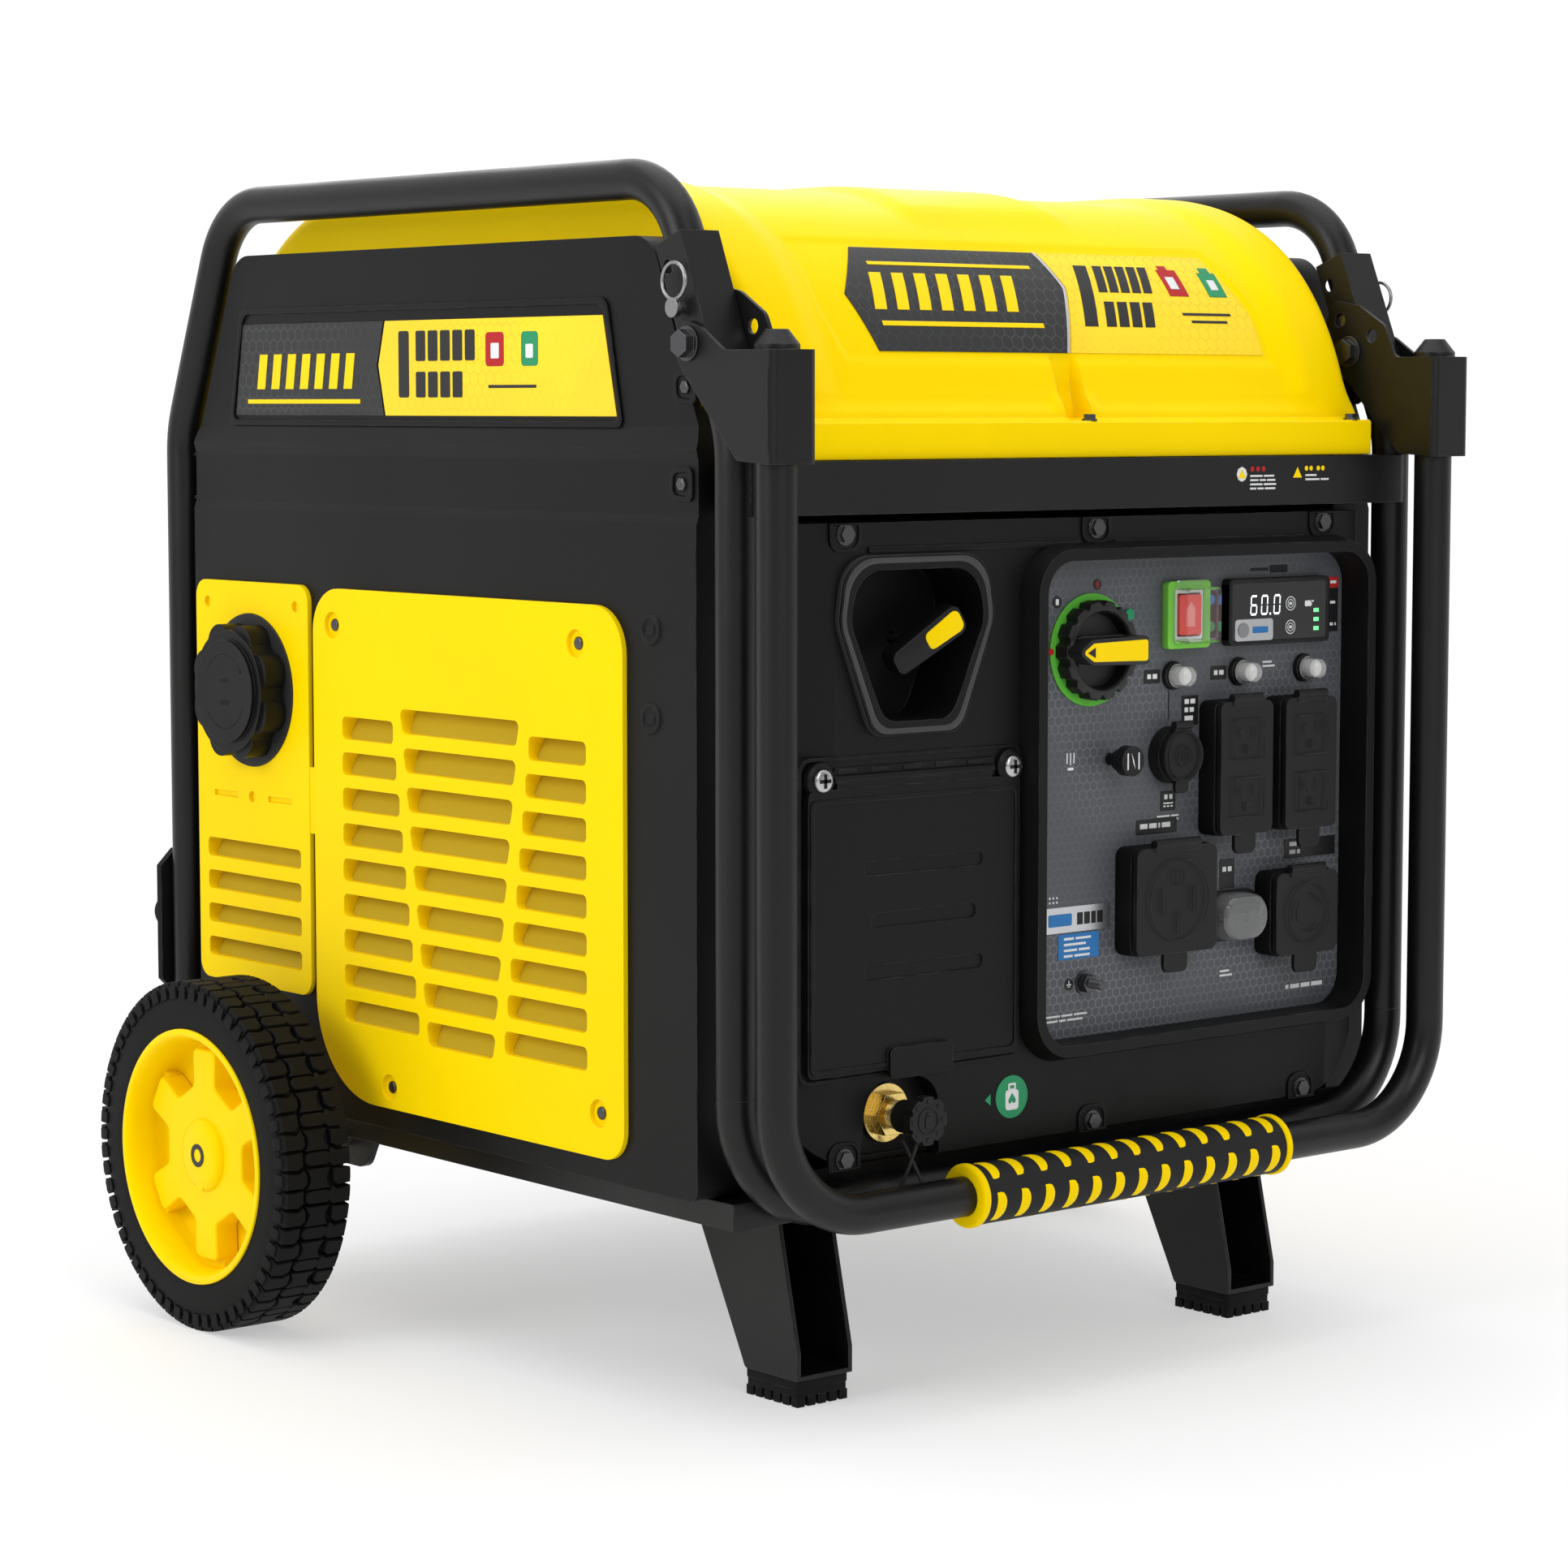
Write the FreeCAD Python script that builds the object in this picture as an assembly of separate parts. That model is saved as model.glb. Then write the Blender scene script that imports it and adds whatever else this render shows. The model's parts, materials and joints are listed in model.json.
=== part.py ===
"""Portable inverter generator on a folding-handle, two-wheel tube frame.

Millimetres, +Z up, +X to the right seen from the front, +Y to the rear.
Depths are measured back from the centre plane of the stowed handle. The finished
pieces are then shifted so that the origin lies on the floor under the middle of the
machine. Most of the machine is the same front and back, mirrored about MIDDLE_Y.
"""

import FreeCAD
import Part
import math
import os

# ---- driving dimensions -------------------------------------------------------------
ORIGIN_Y = 342.25         # depth of the origin behind the stowed handle's plane

TUBE_R = 12.7             # 25.4 mm (1 inch) frame and handle tube
SIDE_X = 294.0            # centre plane of each side hoop and handle arm
FRONT_Y = 38.8            # centre of the front uprights
REAR_Y = 667.0            # centre of the rear uprights
MIDDLE_Y = (FRONT_Y + REAR_Y) / 2
TOP_Z = 772.9             # centre of the hoops' top tubes
LOW_Z = 137.8             # centre of the bottom cross tubes
KNEE_Z = 615.0            # where the uprights start to lean in
LEAN = math.radians(22.0)
TOP_BEND_R = 58.0
KNEE_BEND_R = 80.0
LOW_BEND_R = 70.0
LOOP_TOP_Z = 212.0        # joint between a hoop and a lower loop

PIVOT_Y = 62.0            # handle pivot, on the leaning part of the hoop
PIVOT_Z = 671.0
PIVOT_BOLT_R = 5.0
LOCK_PIN_R = 4.0
LOCK_PIN_REACH = 23.3     # pivot to lock pin, along the leaning tube
HANDLE_RAISE = math.radians(85.0)
RUN_CLEAR = 0.06          # radial clearance of pins and shafts that turn

TRAY_Z = 143.0            # top of the base tray
PANEL_X = 303.0           # outer face of the side panels
PANEL_DEPTH = 37.0
WALL = 3.0
CASE_X = 264.0            # half-width of the front fascia and rear cover
FASCIA_Y = 30.0
FASCIA_LOW = 161.0
FASCIA_HIGH = 562.0
COVER_X = 265.0           # half-width of the top cover
COVER_TOP = 781.5
LEDGE_Z = 624.0           # bolted ledge along the top cover's foot

BEZEL_X = (-63.3, 254.7)
BEZEL_Z = (213.0, 542.0)
BEZEL_Y = 15.0
BEZEL_LIP = 7.5
PLATE_Y = 40.0            # front face of the control plate
PLATE_T = 3.0
OUTLET_Y = 24.0           # front face of the outlet bodies
COVER_T = 4.0

WHEEL_R = 120.65          # 9.5 inch wheel
WHEEL_Y = 507.0
WHEEL_OUT_X = 397.0
WHEEL_W = 55.0
RIM_R = 88.5
RIM_LIP = 4.0             # height of the rim's lip over its barrel
RIM_LIP_T = 2.6
AXLE_R = 8.0

FOOT_Z = 17.5             # top of the rubber foot pads
LEG_X = (173.0, 219.0)

CRANK_X = -20.0
CRANK_Z = 300.0
CRANK_R = 18.0

X_AXIS = FreeCAD.Vector(1, 0, 0)
Y_AXIS = FreeCAD.Vector(0, 1, 0)
Z_AXIS = FreeCAD.Vector(0, 0, 1)
HERE = FreeCAD.Vector(0, 0, 0)


# ---- helpers ------------------------------------------------------------------------
def vec(x, y, z):
    return FreeCAD.Vector(x, y, z)


def box(x0, x1, y0, y1, z0, z1):
    return Part.makeBox(x1 - x0, y1 - y0, z1 - z0, vec(x0, y0, z0))


def rod(radius, start, end):
    """Round bar between two points."""
    a = vec(*start)
    along = vec(*end) - a
    return Part.makeCylinder(radius, along.Length, a, along)


def fuse(shapes):
    whole = shapes[0].multiFuse(shapes[1:])
    return whole.removeSplitter()


def group(shapes):
    return Part.makeCompound(shapes)


def cut(shape, tools):
    return shape.cut(Part.makeCompound(tools))


def mirror_x(shape):
    return shape.mirror(HERE, X_AXIS)


def mirror_y(shape):
    return shape.mirror(vec(0, MIDDLE_Y, 0), Y_AXIS)


def both_sides(shape):
    return [shape, mirror_x(shape)]


def rounded_edges(corners, place):
    """Edges of an outline whose corners (a, b, radius) are rounded to their radii."""
    spans = []
    for i, (a, b, radius) in enumerate(corners):
        corner = vec(a, b, 0)
        if radius == 0:
            spans.append((corner, None, corner))
            continue
        before = corners[i - 1]
        after = corners[(i + 1) % len(corners)]
        back = (vec(before[0], before[1], 0) - corner).normalize()
        on = (vec(after[0], after[1], 0) - corner).normalize()
        half = back.getAngle(on) / 2
        run = radius / math.tan(half)
        inward = (back + on).normalize()
        middle = corner + inward * (radius / math.sin(half) - radius)
        spans.append((corner + back * run, middle, corner + on * run))
    edges = []
    for i, (start, middle, end) in enumerate(spans):
        if middle is not None:
            edges.append(Part.Arc(place(start), place(middle), place(end)).toShape())
        following = spans[(i + 1) % len(spans)][0]
        if (following - end).Length > 1e-6:
            edges.append(Part.LineSegment(place(end), place(following)).toShape())
    return edges


def wire_at_x(corners, x):
    return Part.Wire(rounded_edges(corners, lambda p: vec(x, p.x, p.y)))


def wire_at_y(corners, y):
    return Part.Wire(rounded_edges(corners, lambda p: vec(p.x, y, p.y)))


def wire_at_z(corners, z):
    return Part.Wire(rounded_edges(corners, lambda p: vec(p.x, p.y, z)))


def slab_x(corners, x0, x1):
    """Solid of a (y, z, radius) outline between two planes across X."""
    return Part.Face(wire_at_x(corners, x0)).extrude(vec(x1 - x0, 0, 0))


def slab_y(corners, y0, y1):
    """Solid of an (x, z, radius) outline between two planes across Y."""
    return Part.Face(wire_at_y(corners, y0)).extrude(vec(0, y1 - y0, 0))


def slab_z(corners, z0, z1):
    """Solid of an (x, y, radius) outline between two planes across Z."""
    return Part.Face(wire_at_z(corners, z0)).extrude(vec(0, 0, z1 - z0))


def rectangle(a0, a1, b0, b1, radius=0):
    return [(a0, b0, radius), (a1, b0, radius), (a1, b1, radius), (a0, b1, radius)]


def octagon(centre_a, centre_b, reach):
    """Eight-sided outline with its corners this far from the centre."""
    corners = []
    for i in range(8):
        angle = math.radians(22.5 + 45 * i)
        corners.append((centre_a + reach * math.cos(angle), centre_b + reach * math.sin(angle), 0))
    return corners


def pad_y(centre_x, centre_z, width, height, radius, y0, y1):
    """Rounded block standing on a plane across Y, given by its centre and size."""
    half_w = width / 2
    half_h = height / 2
    low_x, high_x = centre_x - half_w, centre_x + half_w
    low_z, high_z = centre_z - half_h, centre_z + half_h
    return slab_y(rectangle(low_x, high_x, low_z, high_z, radius), y0, y1)


def loft(wires):
    return Part.makeLoft(wires, True, True)


def bent_bar(points, radii, radius):
    """Round bar along straight runs joined by arcs; radii belong to the inner points."""
    edges = []
    start = vec(*points[0])
    for i in range(1, len(points) - 1):
        corner = vec(*points[i])
        back = (vec(*points[i - 1]) - corner).normalize()
        on = (vec(*points[i + 1]) - corner).normalize()
        half = back.getAngle(on) / 2
        run = radii[i - 1] / math.tan(half)
        inward = (back + on).normalize()
        middle = corner + inward * (radii[i - 1] / math.sin(half) - radii[i - 1])
        arc_start = corner + back * run
        arc_end = corner + on * run
        edges.append(Part.LineSegment(start, arc_start).toShape())
        edges.append(Part.Arc(arc_start, middle, arc_end).toShape())
        start = arc_end
    edges.append(Part.LineSegment(start, vec(*points[-1])).toShape())
    path = Part.Wire(edges)
    first = vec(*points[0])
    heading = vec(*points[1]) - first
    circle = Part.Wire([Part.Circle(first, heading, radius).toShape()])
    return path.makePipeShell([circle], True, True)


def hex_bolt(start, axis, radius, head_h):
    """Hex head with a washer under it; start is on the clamped face."""
    base = vec(*start)
    direction = vec(*axis)
    washer = Part.makeCylinder(radius * 1.25, 1.2, base, direction)
    corner_ring = []
    for i in range(6):
        angle = math.radians(60 * i)
        corner_ring.append(vec(radius * math.cos(angle), radius * math.sin(angle), 0))
    corner_ring.append(corner_ring[0])
    head = Part.Face(Part.makePolygon(corner_ring)).extrude(vec(0, 0, head_h))
    head.Placement = FreeCAD.Placement(base + direction * 1.2, FreeCAD.Rotation(Z_AXIS, direction))
    return washer.fuse(head)


def lean_point(distance):
    """Point (y, z) that lies this far up the leaning tube from the handle pivot."""
    return PIVOT_Y + distance * math.sin(LEAN), PIVOT_Z + distance * math.cos(LEAN)


# ---- frame --------------------------------------------------------------------------
def hoop_points(x):
    rise = TOP_Z - KNEE_Z
    lean_in = rise * math.tan(LEAN)
    return [
        (x, FRONT_Y, LOOP_TOP_Z),
        (x, FRONT_Y, KNEE_Z),
        (x, FRONT_Y + lean_in, TOP_Z),
        (x, REAR_Y - lean_in, TOP_Z),
        (x, REAR_Y, KNEE_Z),
        (x, REAR_Y, LOOP_TOP_Z),
    ]


def hinge_drillings(side):
    """Pivot bolt and lock pin holes through one hoop."""
    pin_y, pin_z = lean_point(LOCK_PIN_REACH)
    reach = 40.0
    x0 = side * (SIDE_X - reach)
    x1 = side * (SIDE_X + reach)
    return [
        rod(PIVOT_BOLT_R, (x0, PIVOT_Y, PIVOT_Z), (x1, PIVOT_Y, PIVOT_Z)),
        rod(LOCK_PIN_R + RUN_CLEAR, (x0, pin_y, pin_z), (x1, pin_y, pin_z)),
    ]


def roll_bar(side):
    radii = [KNEE_BEND_R, TOP_BEND_R, TOP_BEND_R, KNEE_BEND_R]
    return cut(bent_bar(hoop_points(side * SIDE_X), radii, TUBE_R), hinge_drillings(side))


def lower_loop(y):
    points = [
        (-SIDE_X, y, LOOP_TOP_Z), (-SIDE_X, y, LOW_Z),
        (SIDE_X, y, LOW_Z), (SIDE_X, y, LOOP_TOP_Z),
    ]
    return bent_bar(points, [LOW_BEND_R, LOW_BEND_R], TUBE_R)


def crossbar():
    """Folded channel between the front uprights, open to the rear, coped to the tubes."""
    front = FRONT_Y - TUBE_R
    back = FRONT_Y + TUBE_R
    low, high, sheet = 567.0, 600.0, 2.5
    outer = box(-SIDE_X, SIDE_X, front, back, low, high)
    inner = box(-SIDE_X, SIDE_X, front + sheet, back + 1, low + sheet, high - sheet)
    tubes = []
    for side in (-1, 1):
        x = side * SIDE_X
        tubes.append(rod(TUBE_R, (x, FRONT_Y, low - 10), (x, FRONT_Y, high + 10)))
    reach = 60.0
    outside = [
        box(-SIDE_X - reach, -SIDE_X, front - 1, back + 1, low - 1, high + 1),
        box(SIDE_X, SIDE_X + reach, front - 1, back + 1, low - 1, high + 1),
    ]
    bar = cut(outer, [inner] + tubes + outside)
    return max(bar.Solids, key=lambda solid: solid.Volume)


def frame_cross_members():
    bar = crossbar()
    return group([lower_loop(FRONT_Y), lower_loop(REAR_Y), bar, mirror_y(bar)])


def base_tray():
    """Folded tray between the lower loops, with an upstand and the two axle plates."""
    sheet = 4.0
    front = FRONT_Y + TUBE_R
    back = REAR_Y - TUBE_R
    half = 286.0
    low = 126.0
    solid = box(-half, half, front, back, low, TRAY_Z)
    under = box(-half + sheet, half - sheet, front + sheet, back - sheet, low - 1, TRAY_Z - sheet)
    lip_h = 14.0
    lip = box(-CASE_X, CASE_X, front, front + WALL, TRAY_Z, TRAY_Z + lip_h)
    plates = []
    for side in (-1, 1):
        outline = [
            (WHEEL_Y - 45, TRAY_Z - sheet, 0),
            (WHEEL_Y - 24, WHEEL_R - 20, 12),
            (WHEEL_Y + 24, WHEEL_R - 20, 12),
            (WHEEL_Y + 45, TRAY_Z - sheet, 0),
        ]
        plate = slab_x(outline, side * 262.0, side * 268.0)
        plates.append(cut(plate, [rod(AXLE_R, (-300, WHEEL_Y, WHEEL_R), (300, WHEEL_Y, WHEEL_R))]))
    way = AXLE_R + 2.0
    axle_way = []
    for side in (-1, 1):
        edge = side * half
        axle_way.append(box(edge - 5, edge + 5, WHEEL_Y - way, WHEEL_Y + way, low - 1, WHEEL_R + way))
    pan = cut(solid, [under] + axle_way)
    return fuse([pan, lip, mirror_y(lip)] + plates)


def wheel_axle():
    reach = WHEEL_OUT_X - 12.0
    bar = rod(AXLE_R, (-reach, WHEEL_Y, WHEEL_R), (reach, WHEEL_Y, WHEEL_R))
    inner = WHEEL_OUT_X - WHEEL_W - 1.0
    collar_r, collar_w = 14.0, 12.0
    collars = []
    for side in (-1, 1):
        start = side * (inner - collar_w)
        collars.append(rod(collar_r, (start, WHEEL_Y, WHEEL_R), (side * inner, WHEEL_Y, WHEEL_R)))
    return fuse([bar] + collars)


def support_leg():
    """Right-hand leg: folded channel open to the front, leaning forward to its foot."""
    x0, x1 = LEG_X
    low = FOOT_Z
    top = 122.0
    front_top, front_low = 90.0, 70.0
    back_top, back_low = 176.0, 122.0
    outline = [
        (front_low, low, 0),
        (back_low, low, 4),
        (back_low + 6, low + 12, 4),
        (back_top, top, 0),
        (front_top, top, 0),
        (front_low, low + 17, 0),
    ]
    inner = [
        (front_low - 20, low + WALL, 0),
        (back_low - 2, low + WALL, 2),
        (back_low + 2, low + 13, 2),
        (back_top - WALL - 1, top + 1, 0),
        (front_top - 30, top + 1, 0),
    ]
    channel = slab_x(outline, x0, x1).cut(slab_x(inner, x0 + WALL, x1 - WALL))
    flange = slab_z(rectangle(x0 - 20, x1 + 20, 84, 196, 6), top, 126.0)
    bolts = []
    for x in (x0 - 10, x1 + 10):
        for y in (100, 180):
            bolts.append(hex_bolt((x, y, top), (0, 0, -1), 6.5, 5.0))
    return fuse([channel, flange] + bolts)


def foot_pad():
    """Right-hand rubber pad with crossed tread grooves."""
    x0, x1 = LEG_X[0] + 1.5, LEG_X[1] - 1.5
    y0, y1 = 71.5, 124.0
    pad = slab_z(rectangle(x0, x1, y0, y1, 3), 0, FOOT_Z)
    grooves = []
    for i in range(3):
        x = x0 + (x1 - x0) * (i + 1) / 4
        grooves.append(rod(2.4, (x, y0 - 1, 0), (x, y1 + 1, 0)))
    for i in range(4):
        y = y0 + (y1 - y0) * (i + 1) / 5
        grooves.append(rod(2.0, (x0 - 1, y, 0), (x1 + 1, y, 0)))
    return cut(pad, grooves)


def hinge_clamshell(side):
    """Sheet shell round the leaning tube that carries the handle pivot and lock pin."""
    inner_half = TUBE_R + 0.3
    outer_half = inner_half + 2.2
    low, high = -14.0, 68.0
    bar = roll_bar(side)
    x = side * SIDE_X
    y0, z0 = lean_point(low)
    along = vec(0, math.sin(LEAN), math.cos(LEAN))
    across = vec(0, math.cos(LEAN), -math.sin(LEAN))
    length = high - low

    def block(half_x, half_y, start, span):
        a = vec(x - half_x, y0, z0) + along * start - across * half_y
        wide = X_AXIS * 2 * half_x
        deep = across * 2 * half_y
        face = Part.Face(Part.makePolygon([a, a + wide, a + wide + deep, a + deep, a]))
        return face.extrude(along * span)

    outer = block(outer_half, outer_half, 0, length)
    hollow = block(inner_half, inner_half, -5, length + 10)
    back_open = block(outer_half + 5, outer_half, -5, length + 10)
    back_open.translate(across * (outer_half + 10.0))
    hole_y, hole_z = lean_point(50.0)
    hole = rod(4.5, (x - 40, hole_y + 4, hole_z), (x + 40, hole_y + 4, hole_z))
    return cut(outer, [hollow, back_open, hole, bar] + hinge_drillings(side))


# ---- folding handle -----------------------------------------------------------------
HANDLE_TOP_Z = 666.0
EAR_GAP = 15.6            # hoop centre plane to the inside of a bracket plate
EAR_T = 2.5
GRIP_HALF = 141.0


def handle_tube():
    points = [
        (-SIDE_X, 0, HANDLE_TOP_Z), (-SIDE_X, 0, LOW_Z),
        (SIDE_X, 0, LOW_Z), (SIDE_X, 0, HANDLE_TOP_Z),
    ]
    return bent_bar(points, [LOW_BEND_R, LOW_BEND_R], TUBE_R)


def bracket_ear(x0, x1, has_lock):
    """Bracket side plate; the plate nearer the middle also carries the lock holes."""
    bottom = 599.0
    top = 667.0
    tail = [
        (-13.5, bottom, 0), (16.0, bottom + 2, 4), (24.0, bottom + 10, 4),
        (PIVOT_Y + 6, PIVOT_Z - 16, 8),
    ]
    if has_lock:
        head = [
            (PIVOT_Y + 22, PIVOT_Z + 20, 8), (PIVOT_Y + 14, PIVOT_Z + 36, 8),
            (PIVOT_Y - 8, PIVOT_Z + 32, 10), (PIVOT_Y - 32, PIVOT_Z + 18, 10), (PIVOT_Y - 42, top, 6),
        ]
    else:
        head = [
            (PIVOT_Y + 15, PIVOT_Z - 3, 8), (PIVOT_Y + 4, PIVOT_Z + 15, 8),
            (PIVOT_Y - 12, PIVOT_Z + 10, 6), (PIVOT_Y - 34, top, 6),
        ]
    plate = slab_x(tail + head + [(-13.5, top, 0)], x0, x1)
    ends = (x0 - 5, x1 + 5)
    holes = [rod(PIVOT_BOLT_R + RUN_CLEAR, (ends[0], PIVOT_Y, PIVOT_Z), (ends[1], PIVOT_Y, PIVOT_Z))]
    if has_lock:
        for turn in (0.0, HANDLE_RAISE):
            y = PIVOT_Y + LOCK_PIN_REACH * math.sin(LEAN - turn)
            z = PIVOT_Z + LOCK_PIN_REACH * math.cos(LEAN - turn)
            holes.append(rod(LOCK_PIN_R + 0.8, (ends[0], y, z), (ends[1], y, z)))
    return cut(plate, holes)


def handle_bracket(side):
    """Folded bracket round the top of a handle arm, with an ear each side of the hoop."""
    inside = SIDE_X - EAR_GAP
    outside = SIDE_X + EAR_GAP
    inner_ear = bracket_ear(inside - EAR_T, inside, True)
    outer_ear = bracket_ear(outside, outside + EAR_T, False)
    wrap_outline = [
        (inside - EAR_T, -10.0, 0), (inside - EAR_T, -16.0, 5), (outside + EAR_T, -16.0, 5),
        (outside + EAR_T, -10.0, 0), (outside, -10.0, 0), (outside, -13.5, 2.5),
        (inside, -13.5, 2.5), (inside, -10.0, 0),
    ]
    wrap = slab_z(wrap_outline, 599.0, 667.0)
    bracket = fuse([inner_ear, outer_ear, wrap])
    return bracket if side > 0 else mirror_x(bracket)


def handle_plug(side):
    """Domed plastic plug in the open end of a handle arm."""
    x = side * SIDE_X
    rim = Part.makeCylinder(14.0, 4.0, vec(x, 0, HANDLE_TOP_Z))
    dome = Part.makeCone(14.0, 7.0, 9.0, vec(x, 0, HANDLE_TOP_Z + 4.0))
    return rim.fuse(dome)


def handle_grip():
    """Moulded grip round the bottom tube, with a flange at each end."""
    flange_w = 5.0
    body = rod(19.0, (-GRIP_HALF, 0, LOW_Z), (GRIP_HALF, 0, LOW_Z))
    flanges = []
    for side in (-1, 1):
        inner = side * (GRIP_HALF - flange_w)
        flanges.append(rod(20.5, (inner, 0, LOW_Z), (side * GRIP_HALF, 0, LOW_Z)))
    whole = fuse([body] + flanges)
    return whole.cut(rod(TUBE_R, (-GRIP_HALF - 1, 0, LOW_Z), (GRIP_HALF + 1, 0, LOW_Z)))


def lock_pin(side):
    """Sprung pin drawn by a wire ring; its nose enters the bracket's inner ear."""
    y, z = lean_point(LOCK_PIN_REACH)
    nose = side * (SIDE_X - EAR_GAP + 0.6)
    tail = side * (SIDE_X + 24.0)
    shaft = rod(LOCK_PIN_R, (nose, y, z), (tail, y, z))
    knob = rod(6.0, (side * (SIDE_X + 20.0), y, z), (tail, y, z))
    ring_r = 11.0
    wire_r = 1.2
    ring_x = side * (SIDE_X + 22.0)
    ring = Part.makeTorus(ring_r, wire_r, vec(ring_x, y, z + ring_r + 5.0), X_AXIS)
    return fuse([shaft, knob, ring])


# ---- side panels --------------------------------------------------------------------
def panel_outline(inset):
    """Side panel outline, (y, z, corner radius), drawn in by an inset."""
    front = 66.0 + inset
    back = 2 * MIDDLE_Y - front
    low = TRAY_Z + 1.0 + inset
    shoulder = 612.0
    top = 738.0 - inset
    top_front = 116.0 + inset
    top_back = 2 * MIDDLE_Y - top_front
    return [
        (front, low, 8), (back, low, 8), (back, shoulder, 20), (top_back, top, 24),
        (top_front, top, 24), (front, shoulder, 20),
    ]


VENT = (135.0, 483.0, 159.0, 509.5)          # large vent panel: y0, y1, z0, z1
FUEL_PANEL = (489.5, 633.5, 225.0, 510.5)
FILLER = (562.5, 434.5)
VENT_PROUD = 3.5


def vent_outline(inset):
    y0, y1, z0, z1 = VENT
    return [
        (y0 + inset, z0 + inset, 20), (y1 - inset, z0 + inset, 70 - inset),
        (y1 - inset, z1 - inset, 30 - inset / 2), (y0 + inset, z1 - inset, 30 - inset / 2),
    ]


def fuel_panel_outline(inset):
    y0, y1, z0, z1 = FUEL_PANEL
    return rectangle(y0 + inset, y1 - inset, z0 + inset, z1 - inset, 12 - inset / 2)


def left_side_panel(has_filler):
    """Moulded pan: outer face, rim turned in, recessed upper part and shoulder bands."""
    outer = slab_x(panel_outline(0), -PANEL_X, -PANEL_X + PANEL_DEPTH)
    inner = slab_x(panel_outline(WALL), -PANEL_X + WALL + 5.0, -PANEL_X + PANEL_DEPTH + 1)
    lower_inner = slab_x(
        [(69.0, TRAY_Z + 4.0, 5), (636.8, TRAY_Z + 4.0, 5), (636.8, 560.0, 5), (69.0, 560.0, 5)],
        -PANEL_X + WALL, -PANEL_X + WALL + 6.0,
    )
    upper_step = slab_profile_xz(
        [(-PANEL_X - 1, 607.0), (-PANEL_X, 607.0), (-PANEL_X + 5.0, 621.0), (-PANEL_X + 5.0, 760.0),
         (-PANEL_X - 1, 760.0)], 40.0, 670.0)
    waist_step = slab_profile_xz(
        [(-PANEL_X - 1, 559.0), (-PANEL_X + 2.0, 567.0), (-PANEL_X + 2.0, 600.0), (-PANEL_X, 608.0),
         (-PANEL_X - 1, 608.0)], 40.0, 670.0)
    ear_room_r = 41.0
    ear_start = (-PANEL_X + 11.0, PIVOT_Y, PIVOT_Z)
    ear_room = rod(ear_room_r, ear_start, (-PANEL_X + PANEL_DEPTH + 1, PIVOT_Y, PIVOT_Z))
    vent_hole = slab_x(vent_outline(9.0), -PANEL_X - 1, -PANEL_X + 10)
    tools = [inner, lower_inner, upper_step, waist_step, ear_room, vent_hole]
    if has_filler:
        tools.append(slab_x(fuel_panel_outline(9.0), -PANEL_X - 1, -PANEL_X + 10))
    return cut(outer, tools)


def slab_profile_xz(points, y0, y1):
    """Solid of an (x, z) outline between two planes across Y, corners left sharp."""
    ring = [vec(x, y0, z) for x, z in points]
    return Part.Face(Part.makePolygon(ring + [ring[0]])).extrude(vec(0, y1 - y0, 0))


def long_slot(y0, y1, z, height, lean):
    """Cutter for one vent slot; lean slants its ends."""
    half = height / 2
    outline = [
        (y0 + lean, z - half, half * 0.55), (y1 - lean, z - half, half * 0.55),
        (y1 + lean, z + half, half * 0.55), (y0 - lean, z + half, half * 0.55),
    ]
    return slab_x(outline, -PANEL_X - 20, -PANEL_X + 40)


def vent_slots():
    """Three columns of nine slots that narrow towards the bottom of the panel."""
    slots = []
    rows = 9
    for row in range(rows):
        side_z = 415.0 - 24.3 * row
        taper = 3.5 * row
        slots.append(long_slot(387.0 - taper, 448.0, side_z, 15.5, 0))
        slots.append(long_slot(173.0, 234.0 + taper, side_z, 15.5, 0))
        middle_z = 423.5 - 25.95 * row
        slots.append(long_slot(245.5 + taper, 377.5 - taper, middle_z, 16.5, 2.0))
    return slots


def left_vent_panel():
    """Yellow panel: a proud face plate on a deeper block that the slots run through."""
    face = slab_x(vent_outline(0), -PANEL_X - VENT_PROUD, -PANEL_X)
    block = slab_x(vent_outline(9.5), -PANEL_X, -PANEL_X + 14.0)
    recesses = []
    for y, z in ((459.5, 484.5), (183.5, 484.5), (395.0, 173.5), (161.5, 187.5)):
        recesses.append(rod(9.0, (-PANEL_X - 10, y, z), (-PANEL_X - 0.5, y, z)))
    return cut(fuse([face, block]), vent_slots() + recesses)


def fuel_cap_panel():
    face = slab_x(fuel_panel_outline(0), -PANEL_X - VENT_PROUD, -PANEL_X)
    block = slab_x(fuel_panel_outline(9.5), -PANEL_X, -PANEL_X + 10.0)
    bridge_outline = rectangle(VENT[1] + 0.2, FUEL_PANEL[0] + 2, 339.0, 385.0)
    bridge = slab_x(bridge_outline, -PANEL_X - VENT_PROUD + 0.5, -PANEL_X)
    filler = rod(54.0, (-PANEL_X - 10, *FILLER), (-PANEL_X + 20, *FILLER))
    tools = [filler]
    for z in (319.5, 296.0, 272.0, 248.0):
        tools.append(long_slot(501.0, 621.5, z, 13.5, 0))
    for y0, y1 in ((581.0, 612.0), (512.0, 542.0)):
        tools.append(slab_x(rectangle(y0, y1, 357.0, 361.0), -PANEL_X - 10, -PANEL_X - 1.5))
    for y, z in ((618.5, 495.0), (505.5, 495.0), (563.0, 359.0)):
        tools.append(rod(4.0, (-PANEL_X - 10, y, z), (-PANEL_X - 0.5, y, z)))
    return cut(fuse([face, block, bridge]), tools)


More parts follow.
